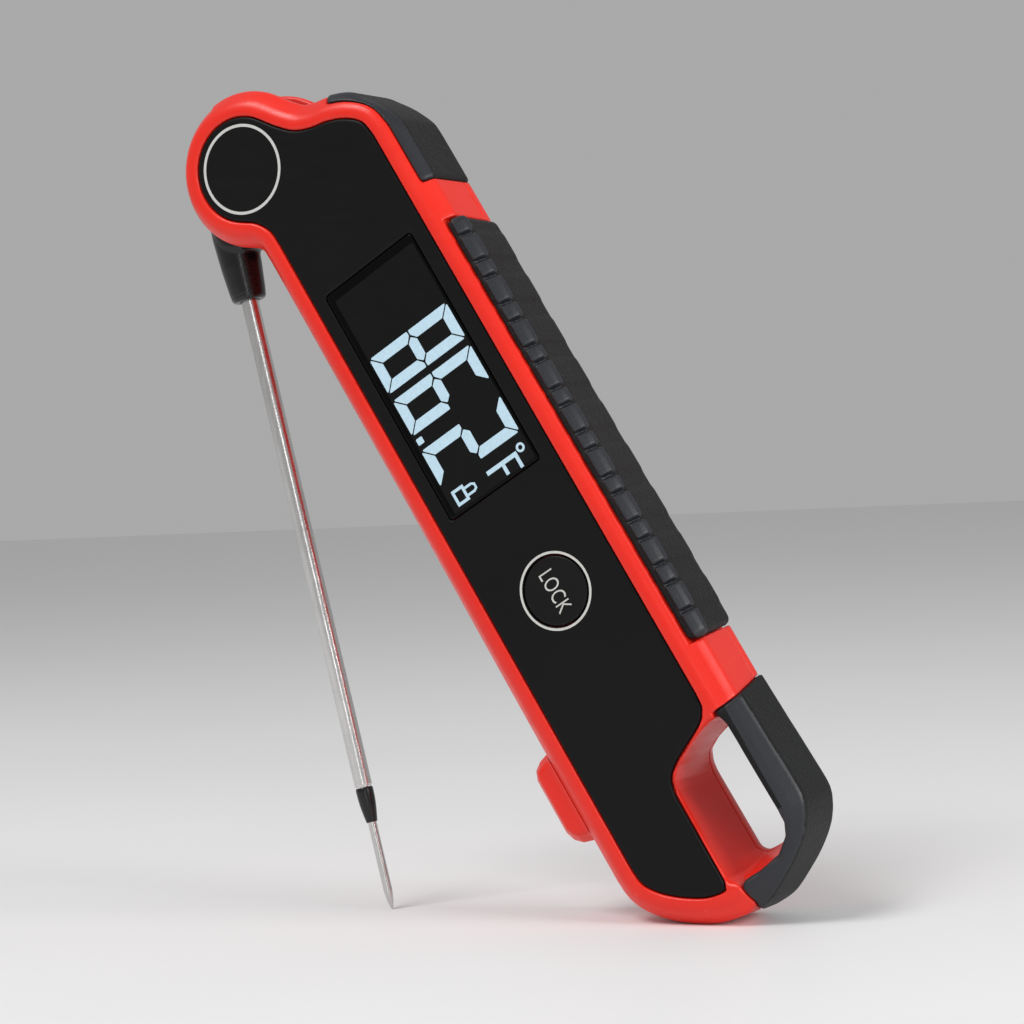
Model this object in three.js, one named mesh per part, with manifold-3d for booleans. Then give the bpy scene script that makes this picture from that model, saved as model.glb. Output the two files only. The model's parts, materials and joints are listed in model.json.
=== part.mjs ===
// Folding probe thermometer, standing open on its probe tip and its lower corner.
// Millimetres, +Z up, +Y from the display face towards the back.
// The handset is drawn flat in its own frame: u across, v down the body from the
// hinge, w depth behind the display face. A tilted group then stands it up.
import * as THREE from 'three';
import { mergeVertices } from 'three/addons/utils/BufferGeometryUtils.js';
import Module from 'manifold-3d';

const wasm = await Module();
wasm.setup();

// ---------- driving dimensions ----------
const TILT = 29.7576;            // lean of the handset from vertical, degrees
const PIVOT_U = -12.30;          // hinge axis, left of the handset's centre line
const THICK = 18.4;              // display face to back face
const MID = 9.2;                 // depth of the probe axis
const PART = 13.5;               // depth of the parting plane between the shells
const SPLIT = 0.15;              // half the joint between the two shells
const GAP = 0.30;                // gap between neighbouring pieces
const RIM = 2.95;                // flat rim outside the display panel
const WALL = 4.85;               // side wall outside the panel edge
const GRIP_WALL = 5.35;          // recessed part of the grip
const RIB_WALL = 6.10;           // raised ribs of the grip
const LOOP_WALL = 5.85;          // rubber over the hanging loop
const BEVEL_IN = 0.6, BEVEL_OUT = 2.9;   // depths where the front bevel starts and ends
const PANEL_T = 1.2;             // display panel thickness
const FLOOR_IN = 2.8, FLOOR_OUT = 15.9;  // inside faces of the shells
const SLOT_IN = 4.6, SLOT_OUT = 13.8;    // hinge slot between the two cheeks
const SLOT_R = 14.2;
const HUB_IN = 5.3, HUB_OUT = 13.1, HUB_R = 13.1;
const PROBE_ANGLE = 17.8;        // probe away from the handset's long axis
const PROBE_OFFSET = 10.2;       // probe axis beside the hinge axis
const BOOT_END = 21.4;           // distances along the probe from the hinge
const TUBE_END = 112.4, FERRULE_END = 118.9, TIP_END = 134.9;
const TUBE_R = 1.6, NEEDLE_R = 0.79;
const BUTTON = [0.29, 96.1], BUTTON_R = 6.25;
const RIBS = [[34.5, 39.9], [43.4, 48.9], [52.5, 57.8], [61.0, 66.5], [69.9, 75.4],
  [78.8, 84.4], [87.7, 93.3], [96.9, 102.0], [105.7, 111.0]];
const SCREWS = [[7.6, 10.2], [-13.0, 20.4], [10.6, 121.0], [-12.7, 97.4]];
const DOOR = { u0: -12.6, u1: 0.0, v0: 91.5, v1: 147.6 };
const DOOR_SCREW = [-6.3, 95.6];
const CELL = { u: -6.3, r: 5.25, v0: 101.2, v1: 145.7 };

// ---------- helpers ----------
const rad = (d) => d * Math.PI / 180;

function arc(cu, cv, r, a0, a1, n) {            // angles in degrees, v downwards
  const out = [];
  for (let i = 0; i <= n; i++) {
    const a = rad(a0 + (a1 - a0) * i / n);
    out.push([cu + r * Math.cos(a), cv + r * Math.sin(a)]);
  }
  return out;
}
function smooth(pts, n) {                        // open curve through the points
  const c = new THREE.CatmullRomCurve3(pts.map((p) => new THREE.Vector3(p[0], p[1], 0)), false, 'centripetal');
  return c.getSpacedPoints(n).map((p) => [p.x, p.y]);
}
function area(pts) {
  let s = 0;
  pts.forEach((p, i) => { const q = pts[(i + 1) % pts.length]; s += p[0] * q[1] - q[0] * p[1]; });
  return s / 2;
}
function offset(pts, d) {                        // outwards for d > 0
  const s = area(pts) > 0 ? 1 : -1, n = pts.length;
  return pts.map((p, i) => {
    const a = pts[(i + n - 1) % n], b = pts[(i + 1) % n];
    const e1 = [p[0] - a[0], p[1] - a[1]], e2 = [b[0] - p[0], b[1] - p[1]];
    const l1 = Math.hypot(...e1), l2 = Math.hypot(...e2);
    const n1 = [s * e1[1] / l1, -s * e1[0] / l1], n2 = [s * e2[1] / l2, -s * e2[0] / l2];
    const k = 1 + n1[0] * n2[0] + n1[1] * n2[1];
    return [p[0] + d * (n1[0] + n2[0]) / k, p[1] + d * (n1[1] + n2[1]) / k];
  });
}
function toSolid(geometry) {
  let g = geometry.index ? geometry : geometry.clone();
  g.deleteAttribute('normal'); g.deleteAttribute('uv');
  g = mergeVertices(g, 1e-4);
  let s = new wasm.Manifold(new wasm.Mesh({
    numProp: 3, vertProperties: new Float32Array(g.attributes.position.array),
    triVerts: new Uint32Array(g.index.array) }));
  if (s.volume() < 0) {
    const idx = new Uint32Array(g.index.array);
    for (let i = 0; i < idx.length; i += 3) { const t = idx[i]; idx[i] = idx[i + 1]; idx[i + 1] = t; }
    s = new wasm.Manifold(new wasm.Mesh({
      numProp: 3, vertProperties: new Float32Array(g.attributes.position.array), triVerts: idx }));
  }
  return s;
}
function loft(levels) {                          // [[w, outline], ...] with equal point counts
  if (area(levels[0][1]) < 0) levels = levels.map(([w, pts]) => [w, [...pts].reverse()]);
  const n = levels[0][1].length, pos = [], idx = [];
  levels.forEach(([w, pts]) => pts.forEach((p) => pos.push(p[0], w, -p[1])));
  for (let k = 0; k + 1 < levels.length; k++) for (let i = 0; i < n; i++) {
    const j = (i + 1) % n, a = k * n + i, b = k * n + j, c = a + n, d = b + n;
    idx.push(a, b, d, a, d, c);
  }
  const cap = (pts, up) => THREE.ShapeUtils.triangulateShape(pts.map((p) => new THREE.Vector2(p[0], p[1])), []).map((t) => {
    const [p, q, r] = t.map((i) => pts[i]);
    const ccw = (q[0] - p[0]) * (r[1] - p[1]) - (q[1] - p[1]) * (r[0] - p[0]) > 0;
    return ccw === up ? t : [t[0], t[2], t[1]];
  });
  const last = (levels.length - 1) * n;
  cap(levels[0][1], false).forEach((t) => idx.push(...t));
  cap(levels[levels.length - 1][1], true).forEach((t) => idx.push(...t.map((i) => i + last)));
  const g = new THREE.BufferGeometry();
  g.setAttribute('position', new THREE.Float32BufferAttribute(pos, 3));
  g.setIndex(idx);
  return toSolid(g);
}
function plate(pts, w0, w1) {                    // straight extrusion of an outline in depth
  const shape = new THREE.Shape(pts.map((p) => new THREE.Vector2(p[0], -p[1])));
  const g = new THREE.ExtrudeGeometry(shape, { depth: w1 - w0, bevelEnabled: false, curveSegments: 1 });
  g.rotateX(Math.PI / 2); g.translate(0, w1, 0);
  return toSolid(g);
}
const rect = (u0, v0, u1, v1) => [[u0, v0], [u1, v0], [u1, v1], [u0, v1]];
function rrect(u0, v0, u1, v1, r, n = 3) {
  return [...arc(u1 - r, v0 + r, r, -90, 0, n), ...arc(u1 - r, v1 - r, r, 0, 90, n),
    ...arc(u0 + r, v1 - r, r, 90, 180, n), ...arc(u0 + r, v0 + r, r, 180, 270, n)];
}
function box(u0, v0, w0, u1, v1, w1) {
  const g = new THREE.BoxGeometry(u1 - u0, w1 - w0, v1 - v0);
  g.translate((u0 + u1) / 2, (w0 + w1) / 2, -(v0 + v1) / 2);
  return toSolid(g);
}
function disc(u, v, r, w0, w1, n = 28) {         // cylinder along the depth
  const g = new THREE.CylinderGeometry(r, r, w1 - w0, n);
  g.translate(u, (w0 + w1) / 2, -v);
  return toSolid(g);
}
function turned(profile, n = 20) {               // profile of [radius, height], about Z
  const g = new THREE.LatheGeometry(profile.map((p) => new THREE.Vector2(p[0], p[1])), n);
  g.rotateX(Math.PI / 2);
  return toSolid(g);
}
function ring(u, v, r0, r1, w0, w1, n = 28) {
  return disc(u, v, r1, w0, w1, n).subtract(disc(u, v, r0, w0 - 1, w1 + 1, n));
}
function sweep(points, r, steps, sides = 8) {
  const path = new THREE.CatmullRomCurve3(points.map((p) => new THREE.Vector3(p[0], p[2], -p[1])));
  const s = new THREE.Shape(arc(0, 0, r, 0, 360 - 360 / sides, sides - 1).map((p) => new THREE.Vector2(...p)));
  return toSolid(new THREE.ExtrudeGeometry(s, { steps, extrudePath: path, bevelEnabled: false }));
}
const union = (...s) => s.reduce((a, b) => a.add(b));
const cut = (a, ...s) => s.reduce((x, y) => x.subtract(y), a);
// region of the side v > line, where the line runs from v0 at the front to v1 at the back
function below(v0, v1, far = 220) {
  const g = new THREE.BufferGeometry();
  const p = [];
  for (const u of [-60, 60]) p.push(u, -5, -v0, u, THICK + 5, -v1, u, THICK + 5, -far, u, -5, -far);
  g.setAttribute('position', new THREE.Float32BufferAttribute(p, 3));
  g.setIndex([0, 1, 2, 0, 2, 3, 4, 6, 5, 4, 7, 6, 0, 4, 5, 0, 5, 1, 1, 5, 6, 1, 6, 2, 2, 6, 7, 2, 7, 3, 3, 7, 4, 3, 4, 0]);
  return toSolid(g);
}

// ---------- outlines ----------
const lobe = arc(PIVOT_U, 0, 9.4, 125, 322, 22);           // round the hinge, over the top
const neck = smooth([[-4.9, -5.8], [-2.6, -2.6], [0.2, 0.4], [3.3, 2.0], [6.7, 3.0], [10.0, 4.7], [12.5, 7.2], [13.2, 10.5]], 16).slice(1);
const neckLeft = smooth([[-13.2, 16.2], [-13.5, 12.6], [-15.2, 9.7], [-17.7, 7.7]], 7).slice(0, -1);
const foot = smooth([[-13.2, 143.0], [-12.8, 146.1], [-11.1, 148.6], [-8.9, 150.6], [-6.1, 152.5], [-3.3, 153.9], [0.0, 154.6]], 9);
const footRight = smooth([[0.0, 154.6], [3.0, 153.9], [6.2, 152.5], [9.8, 150.6], [12.9, 148.1], [14.4, 144.9], [14.3, 141.0], [13.4, 135.0]], 10).slice(1);
const body = [...neckLeft, ...lobe.slice(0, -1), ...neck, [13.2, 26.5], [13.2, 60], [13.2, 100], [13.2, 126], ...[...footRight].reverse(), ...[...foot].reverse(), [-13.2, 100], [-13.2, 60]];
const panel = [...neckLeft, ...lobe.slice(0, -1), ...neck, [13.2, 124.0],
  ...smooth([[13.0, 126.4], [11.8, 128.1], [10.0, 129.1], [6.1, 130.8], [3.3, 132.2], [1.4, 133.9], [0.6, 136.4]], 9),
  [0.55, 153.2], [0.2, 154.4], ...[...foot].reverse().slice(1)];
// hanging loop: its outline at the display face and, further in, at the back
const loopFront = [[0.95, 137.2], [1.05, 136.0], [1.8, 134.2], [3.6, 132.6], [6.4, 131.2], [10.2, 129.8], [12.8, 129.2], [14.3, 129.6], [14.8, 131.0],
  [15.1, 147.4], [14.8, 149.8], [13.6, 151.8], [10.8, 153.9], [6.3, 154.6], [2.8, 154.5], [1.2, 153.4]];
const loopBack = [[3.3, 136.0], [3.3, 135.0], [3.5, 133.4], [4.3, 131.6], [6.8, 130.4], [10.2, 129.6], [12.8, 129.2], [14.3, 129.6], [14.8, 131.0],
  [15.1, 147.0], [14.7, 148.8], [13.5, 150.4], [10.8, 151.0], [6.8, 151.1], [4.4, 150.9], [3.4, 149.8]];
const LOOP_DEEP = 15;              // depth of the loop's narrowest outline
const cavity = [[-16, 24], [-15.9, 18.6], [-14.6, 16.9], [-12.3, 16.4], [-5.0, 15.2], [1.0, 10.6], [4.6, 6.6], [7.0, 5.6], [9.6, 6.3], [12.6, 8.9], [13.9, 12.4],
  [13.9, 119.6], [12.7, 123.4], [9.4, 126.2], [4.0, 128.8], [0.2, 131.8], [-1.0, 134.6], [-1.0, 150.4], [-3.6, 151.2], [-7.0, 149.6], [-11.0, 146.6], [-13.8, 143.6], [-16, 139.6]];
const loopCore = [[1.5, 158.3], [4.4, 158.0], [7.6, 157.0], [10.8, 155.3], [13.8, 153.0], [16.2, 149.9], [17.5, 146.2], [17.7, 142.0], [17.7, 122.0],
  [16.1, 122.0], [16.1, 143.0], [15.9, 147.9], [14.7, 151.2], [13.0, 152.4], [12.4, 150.3], [1.5, 150.3]];

// the side wall is drawn in round the upper corner and along the left, and widens towards the loop
const ease = (x) => { const t = Math.min(Math.max(x, 0), 1); return t * t * (3 - 2 * t); };
const swell = body.map(([u, v]) => (u < -12.5 ? -0.35 + 0.3 * ease((v - 60) / 60) : 0)
  - 1.5 * Math.exp(-((u - 14.0) ** 2 + (v - 7.0) ** 2) / 12)
  + (u > 8 && v > 30 && v < 139 ? 0.5 * ease((v - 50) / 60) : 0));
const skin = (d) => {
  const t = ease((d - RIM) / (WALL - RIM)), base = offset(body, d), more = offset(body, d + 1);
  return base.map(([u, v], i) => [u + (more[i][0] - u) * swell[i] * t, v + (more[i][1] - v) * swell[i] * t]);
};
// outer solid of the handset for a given side wall
const hull = (rim, wall, grow = 0) => loft([
  [BEVEL_IN - 0.45 - grow, offset(body, Math.max(rim - 2.65, 0.3))],
  [BEVEL_IN - grow, skin(rim)], [BEVEL_OUT - grow, skin(wall + grow)],
  [THICK - BEVEL_OUT + grow, skin(wall + grow)], [THICK - BEVEL_IN + grow, skin(rim)],
  [THICK + grow, skin(rim - 1.15)]]);
const red = hull(RIM, WALL);
const loopAt = (w) => { const t = Math.pow(Math.max(w, 0) / LOOP_DEEP, 1.7); return loopFront.map(([u, v], i) => [u + (loopBack[i][0] - u) * t, v + (loopBack[i][1] - v) * t]); };
const opened = (d) => loopBack.map(([u, v]) => [u + d * Math.max(-1, Math.min(1, (u - 9) / 4)), v + d * Math.max(-1, Math.min(1, (v - 140) / 7))]);
const holeCut = loft([[-3, loopFront], [2, loopAt(2)], [5, loopAt(5)], [8, loopAt(8)], [11.5, loopAt(11.5)], [LOOP_DEEP, loopBack], [THICK, opened(1.2)], [21, opened(1.9)]]);
const inner = plate(offset(body, RIM + 0.25), -3, THICK + 3);      // rubber starts outside this line

// ---------- rubber overmouldings ----------
const side = box(3.1, -30, -2, 60, 220, THICK + 2);
const capZone = plate([[7.7, -14], [40, -14], [40, 22.6], [8.3, 22.6], [8.3, 6]], -2, THICK + 2);
const gripZone = below(30.4, 31.4).subtract(below(117.0, 114.0)).intersect(side);
const loopZone = below(129.4, 123.4).intersect(box(2.9, 100, -3, 60, 220, THICK + 3));
const gripCap = cut(hull(RIM + 0.25, WALL + 0.25), inner).intersect(capZone);
let ribbed = cut(hull(RIM + 0.25, GRIP_WALL), inner).intersect(gripZone);
const ribHull = cut(hull(RIM + 0.25, RIB_WALL, 0.12), plate(offset(body, RIM + 0.6), -3, THICK + 3));
for (const [a, b] of RIBS) ribbed = ribbed.add(ribHull.intersect(box(10, a, -3, 40, b, THICK + 3)));
const coreCut = plate(offset(loopCore, GAP), 4.0 - GAP, 14.4 + GAP);
// rubber round the loop: outside the rim line, and the whole of the right-hand bar
const bar = [[14.2, 118], [40, 118], [40, 220], [2.9, 220], [2.9, 153.4], [8.0, 153.0], [12.4, 150.2], [14.2, 146.5]];
const barZone = plate(bar, -3, THICK + 3);
const loopCover = cut(hull(RIM + 0.1, LOOP_WALL, 0).intersect(barZone).intersect(loopZone), holeCut, coreCut);

// cutters that leave the shells clear of the rubber
const capCut = cut(hull(RIM + 0.6, WALL + 0.9, 0.4), plate(offset(body, RIM - 0.05), -3, THICK + 3)).intersect(plate([[7.4, -14], [40, -14], [40, 22.9], [8.0, 22.9], [8.0, 6]], -3, THICK + 3));
const gripCut = cut(hull(RIM + 0.6, RIB_WALL + 0.9, 0.4), plate(offset(body, RIM - 0.05), -3, THICK + 3)).intersect(below(30.1, 31.1).subtract(below(117.3, 114.3)).intersect(side));
const barCut = plate(offset(bar, GAP), -3, THICK + 3)
  .intersect(below(129.1, 123.1)).intersect(box(2.6, 100, -3, 60, 220, THICK + 3));

// ---------- shells ----------
const slotZone = union(disc(PIVOT_U, 0, SLOT_R, SLOT_IN, SLOT_OUT, 56),
  box(-60, -60, SLOT_IN, 2.9, 0, SLOT_OUT), box(-60, -1, SLOT_IN, -18.35, 15, SLOT_OUT));
let shellBody = cut(red, capCut, gripCut, barCut.subtract(plate(loopCore, 4.0, 14.4)), holeCut, slotZone);
shellBody = shellBody.add(plate(loopCore, 4.0, 14.4).subtract(holeCut));
const cavityTop = plate(cavity, FLOOR_IN, FLOOR_OUT);
const bossOuter = (u, v, w0, w1, r) => disc(u, v, r, w0, w1, 20);
const front = (() => {
  let s = shellBody.intersect(box(-80, -60, -5, 80, 220, PART - SPLIT));
  s = cut(s, plate(offset(panel, GAP * 0.6), -3, PANEL_T + 0.1), cavityTop);
  for (const [u, v] of SCREWS) s = s.add(bossOuter(u, v, FLOOR_IN - 0.4, PART - SPLIT, 2.5));
  s = cut(s, box(-9.5, 30.2, 0, 9.9, 74.6, 4), disc(...BUTTON, 6.8, 0, 1.9), disc(...BUTTON, 3.0, 0, 4),
    disc(PIVOT_U, 0, 2.3, 3.3, 6), disc(PIVOT_U, 0, 0.9, 1, 4, 12),
    plate([[-13.2, -0.9], [-11.3, -0.9], [-10.8, 6.6], [-7.9, 13.0], [-7.1, 18.2], [-9.8, 18.2], [-10.8, 14.0], [-13.1, 7.4]], 1, 3.0), box(-10.2, 13.4, 1, -7.0, 18.4, 4.4));
  for (const [u, v] of SCREWS) s = cut(s, disc(u, v, 1.35, 4.2, 20, 16));
  return s;
})();
const gasketGroove = plate(offset(cavity, 1.3), PART, PART + 1.1).subtract(plate(offset(cavity, 0.35), PART - 1, PART + 2));
const rear = (() => {
  let s = shellBody.intersect(box(-80, -60, PART + SPLIT, 80, 220, THICK + 5));
  s = cut(s, cavityTop);
  for (const [u, v] of SCREWS) s = s.add(bossOuter(u, v, PART + SPLIT, FLOOR_OUT + 0.4, 2.9));
  s = s.add(disc(...DOOR_SCREW, 3.4, 10.5, FLOOR_OUT + 0.4, 20));
  for (const v of [38, 110]) s = s.add(ring(6.4, v, 5.35, 6.3, 13.2, FLOOR_OUT + 0.3, 28));
  s = cut(s, gasketGroove, box(DOOR.u0 - GAP, DOOR.v0 - GAP, 16.3, DOOR.u1 + GAP, DOOR.v1 + GAP, THICK + 5),
    box(-11.8, 100.8, 10, -0.8, 146.2, THICK + 5), disc(...DOOR_SCREW, 1.8, 5, 20, 16),
    disc(PIVOT_U, 0, 2.3, 10, 17, 24), disc(PIVOT_U, 0, 3.9, 15.7, 25, 28), disc(PIVOT_U, 0, 5.3, 17.3, 25, 32));
  for (const [u, v] of SCREWS) s = cut(s, disc(u, v, 1.4, 5, 25, 16), disc(u, v, 2.3, 15.0, 25, 18));
  return s;
})();

// ---------- colours ----------
const M = {
  red: [0xc8200f, 0.35, 0], panel: [0x141414, 0.3, 0], rubber: [0x2a2b2f, 0.8, 0], black: [0x0c0c0d, 0.25, 0],
  steel: [0xc9c9c6, 0.28, 1], glass: [0x0a0b0c, 0.08, 0], lcd: [0x18191a, 0.2, 0], pcb: [0x1f5a34, 0.5, 0], copper: [0xb98a52, 0.35, 1],
  cell: [0x3a3d42, 0.35, 0.4], chip: [0x191919, 0.5, 0], white: [0xe6e6e0, 0.5, 0], silicone: [0x55585c, 0.75, 0], magnet: [0x9a9ca0, 0.3, 1], spring: [0xb9bcc0, 0.3, 1],
};
const assembly = new THREE.Group(); assembly.name = 'thermometer';
const stand = new THREE.Group(); stand.rotation.y = -rad(TILT); assembly.add(stand);
const handset = new THREE.Group(); handset.position.x = -PIVOT_U; stand.add(handset);
const arm = new THREE.Group(); arm.rotation.y = rad(PROBE_ANGLE); stand.add(arm);   // about the hinge axis

function node(parent, name, solid, key) {
  const [color, roughness, metalness] = M[key];
  const mesh = solid.getMesh();
  const g = new THREE.BufferGeometry();
  g.setAttribute('position', new THREE.Float32BufferAttribute(Float32Array.from(mesh.vertProperties), 3));
  g.setIndex(Array.from(mesh.triVerts));
  g.computeVertexNormals();
  const m = new THREE.Mesh(g, new THREE.MeshStandardMaterial({ color, roughness, metalness }));
  m.name = name; parent.add(m);
  return m;
}

// ---------- handset ----------
node(handset, 'front_shell', front, 'red');
node(handset, 'rear_shell', rear, 'red');
node(handset, 'front_panel', cut(plate(panel, 0, PANEL_T), box(-10.6, 28.5, -1, 10.2, 75.6, 3), disc(...BUTTON, BUTTON_R + 0.25, -1, 3)), 'panel');
node(handset, 'lcd_window', plate(rrect(-10.4, 28.7, 10.0, 75.4, 0.6, 2), 0.05, PANEL_T), 'glass');
node(handset, 'lcd_panel', box(-11.2, 27.6, 3.1, 11.2, 77.0, 4.6), 'lcd');
node(handset, 'backlight', box(-10.6, 32.0, 4.75, 10.6, 72.6, 5.55), 'white');
node(handset, 'zebra_strip_upper', box(-10.6, 28.4, 4.75, 10.6, 30.8, 5.6), 'silicone');
node(handset, 'zebra_strip_lower', box(-10.6, 73.8, 4.75, 10.6, 76.2, 5.6), 'silicone');
node(handset, 'main_board', cut(plate([[-15.2, 24.5], [-9.6, 24.5], [-9.6, 18.2], [2.0, 13.2], [5.2, 14.4], [13.2, 14.4], [13.2, 99.4], [-9.4, 99.4], [-9.4, 94.0], [-15.2, 94.0]], 5.8, 6.9),
  ...SCREWS.map(([u, v]) => disc(u, v, 2.9, 5, 8, 20))), 'pcb');
node(handset, 'processor_chip', box(-4.6, 46, 7.05, 4.6, 55.2, 8.4), 'chip');
node(handset, 'tact_switch', box(BUTTON[0] - 3, BUTTON[1] - 3, 3.95, BUTTON[0] + 3, BUTTON[1] + 3, 5.65), 'chip');
node(handset, 'buzzer', disc(6.2, 78, 5.5, 7.05, 10.2, 28), 'chip');
node(handset, 'reed_switch', box(-8.6, 19.4, 7.05, 0.4, 21.4, 8.6), 'glass');
node(handset, 'lock_button', union(disc(...BUTTON, BUTTON_R, 0.02, 1.1, 40), disc(...BUTTON, 1.8, 1.0, 3.3, 16)), 'panel');
{
  // negative end down, positive nub up
  const m = node(handset, 'battery', turned([[0, 0], [1.9, 0], [1.9, -0.8], [5.25, -0.8], [5.25, -44.5], [0, -44.5]], 28), 'cell');
  m.position.set(CELL.u, MID, -CELL.v0);
}
node(handset, 'contact_plate', box(CELL.u - 3.2, 100.45, 5.6, CELL.u + 3.2, 100.95, 12.8), 'spring');
{
  const turns = 2.5, n = 36, pts = [];
  for (let i = 0; i <= n; i++) { const a = 2 * Math.PI * turns * i / n; pts.push([CELL.u + 2.6 * Math.cos(a), 146.1 + 1.5 * i / n, MID + 2.6 * Math.sin(a)]); }
  node(handset, 'contact_spring', sweep(pts, 0.22, 44, 6), 'spring');
}
node(handset, 'case_gasket', plate(offset(cavity, 1.05), PART + 0.08, PART + 0.95).subtract(plate(offset(cavity, 0.6), 0, 20)), 'silicone');
node(handset, 'magnet_upper', disc(6.4, 38, 5.05, 13.4, 15.6, 28), 'magnet');
node(handset, 'magnet_lower', disc(6.4, 110, 5.05, 13.4, 15.6, 28), 'magnet');
SCREWS.forEach(([u, v], i) => node(handset, `case_screw_${i + 1}`,
  cut(union(disc(u, v, 1.05, 5.0, 15.6, 12), disc(u, v, 1.95, 15.4, 16.8, 18)), box(u - 1.2, v - 0.25, 16.2, u + 1.2, v + 0.25, 18), box(u - 0.25, v - 1.2, 16.2, u + 0.25, v + 1.2, 18)), 'spring'));
node(handset, 'grip_cap', gripCap, 'rubber');
node(handset, 'grip_ribbed', ribbed, 'rubber');
node(handset, 'loop_cover', loopCover, 'rubber');
{
  // two ears with a slot between them that takes the needle when folded
  const ear = [[-18.1, 117.4], [-21.4, 118.2], [-23.0, 119.2], [-23.7, 120.6], [-23.7, 131.4], [-23.1, 133.0], [-21.7, 134.2], [-18.1, 135.2]];
  const inset = (d) => ear.map(([u, v], i) => (i === 0 || i === 7 ? [u, v + (i ? -1 : 1) * d * 0.4] : [u + d, v + (v > 126 ? -1 : 1) * d * 0.5]));
  const guard = loft([[3.6, inset(1.7)], [5.2, inset(0.5)], [6.4, ear], [12.0, ear], [13.2, inset(0.5)], [14.8, inset(1.7)]]);
  node(handset, 'tip_guard', cut(guard, box(-40, 110, MID - 1.35, -21.2, 150, MID + 1.35)), 'red');
}
node(handset, 'probe_lead', sweep([[PIVOT_U, 0.4, 2.1], [-12.0, 7, 2.1], [-9.5, 13.3, 2.1], [-8.5, 16.2, 3.0], [-7.6, 19.6, 4.7], [-6.6, 22.6, 5.2]], 0.4, 16, 8), 'silicone');
node(handset, 'hinge_pin', union(disc(PIVOT_U, 0, 2.0, 3.5, 16.4, 24), disc(PIVOT_U, 0, 3.5, 15.95, 17.0, 24)), 'steel');
node(handset, 'pivot_cap', disc(PIVOT_U, 0, 5.0, 17.45, THICK, 32), 'red');
node(handset, 'thrust_washer', ring(PIVOT_U, 0, 2.5, 6.5, 4.8, 5.1), 'steel');
node(handset, 'friction_washer', ring(PIVOT_U, 0, 2.5, 6.5, 13.3, 13.6), 'steel');

// ---------- battery door ----------
node(handset, 'battery_door', cut(plate(rrect(DOOR.u0, DOOR.v0, DOOR.u1, DOOR.v1, 2.0, 3), 16.95, THICK),
  disc(...DOOR_SCREW, 3.9, 17.4, 25, 28), disc(...DOOR_SCREW, 1.8, 10, 25, 16)), 'red');
node(handset, 'door_gasket', cut(plate(rrect(DOOR.u0 + 0.1, 99.2, DOOR.u1 - 0.1, DOOR.v1 - 0.1, 1.9, 3), 16.4, 16.8), plate(rrect(-11.9, 100.7, -0.7, 146.3, 1, 2), 10, 20)), 'silicone');
node(handset, 'door_screw', cut(union(disc(...DOOR_SCREW, 3.6, 17.6, 18.35, 28), disc(...DOOR_SCREW, 1.45, 11.2, 17.7, 16)), box(DOOR_SCREW[0] - 2.6, DOOR_SCREW[1] - 0.45, 17.95, DOOR_SCREW[0] + 2.6, DOOR_SCREW[1] + 0.45, 20)), 'spring');

// ---------- folding probe, drawn straight down beside the hinge axis ----------
const X0 = -PROBE_OFFSET;
const along = (profile, n = 24) => {                 // profile of [radius, distance along the probe]
  const g = new THREE.LatheGeometry(profile.map(([r, a]) => new THREE.Vector2(r, -a)), n);
  g.rotateX(Math.PI / 2); g.translate(X0, MID, 0);
  return toSolid(g);
};
const hubOutline = [...arc(0, 0, HUB_R, -100, 100, 22),
  ...[[-4.4, 12.6], [-6.3, 12.5], [-7.4, 14.4], [-11.6, 14.4], [-12.3, 9.0], [-12.9, 4.4], [-13.1, 0.0], [-12.5, -4.0], [-10.4, -8.0], [-6.6, -11.4]]];
const hubDisc = (() => {
  let s = plate(hubOutline, HUB_IN, HUB_OUT);
  s = s.add(along([[0, 4], [3.9, 4.0], [4.1, 9], [3.78, 15], [3.4, 19], [3.2, BOOT_END - 0.5], [2.9, BOOT_END], [0, BOOT_END]], 28));
  s = cut(s, disc(0, 0, 3.3, 0, 20, 28), along([[0, 13.0], [1.9, 13.0], [1.9, 30], [0, 30]], 20), along([[0, 20.0], [2.5, 20.0], [2.5, 30], [0, 30]], 20),
    along([[0, 1.0], [0.85, 1.0], [0.85, 14], [0, 14]], 12), disc(6, -7, 1.8, 5, 8.0, 20));
  return s;
})();
node(arm, 'probe_hub', hubDisc, 'black');
node(arm, 'hinge_bush', ring(0, 0, 2.06, 3.0, HUB_IN + 0.1, HUB_OUT - 0.1, 28), 'copper');
node(arm, 'hub_magnet', disc(6, -7, 1.5, 5.5, 7.7, 20), 'magnet');
node(arm, 'boot_seal', along([[1.75, 20.3], [2.25, 20.3], [2.25, BOOT_END - 0.1], [1.75, BOOT_END - 0.1], [1.75, 20.3]], 20), 'silicone');
node(arm, 'probe_tube', along([[1.15, 13.3], [TUBE_R, 13.3], [TUBE_R, TUBE_END], [1.15, TUBE_END], [1.15, 13.3]], 20), 'steel');
node(arm, 'tip_ferrule', along([[1.0, TUBE_END + 0.3 - 0.2], [TUBE_R, TUBE_END + 0.1], [1.5, 115.5], [1.15, 118.0], [1.0, FERRULE_END], [0.95, FERRULE_END], [0.95, TUBE_END + 0.1], [1.0, TUBE_END + 0.1]], 20), 'black');
node(arm, 'tip_needle', along([[0, 108.0], [NEEDLE_R, 108.0], [NEEDLE_R, TIP_END - 3.2], [0.5, TIP_END - 1.2], [0.18, TIP_END - 0.15], [0, TIP_END]], 16), 'steel');
node(arm, 'thermocouple_wire', along([[0, 3.6], [0.5, 3.6], [0.5, 107.6], [0, 107.6]], 8), 'copper');

// ---------- stand it on the floor, centred ----------
assembly.updateMatrixWorld(true);
const bounds = new THREE.Box3().setFromObject(assembly, true);
assembly.position.set(-(bounds.min.x + bounds.max.x) / 2, -(bounds.min.y + bounds.max.y) / 2, -bounds.min.z);
assembly.updateMatrixWorld(true);

export default assembly;
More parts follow.
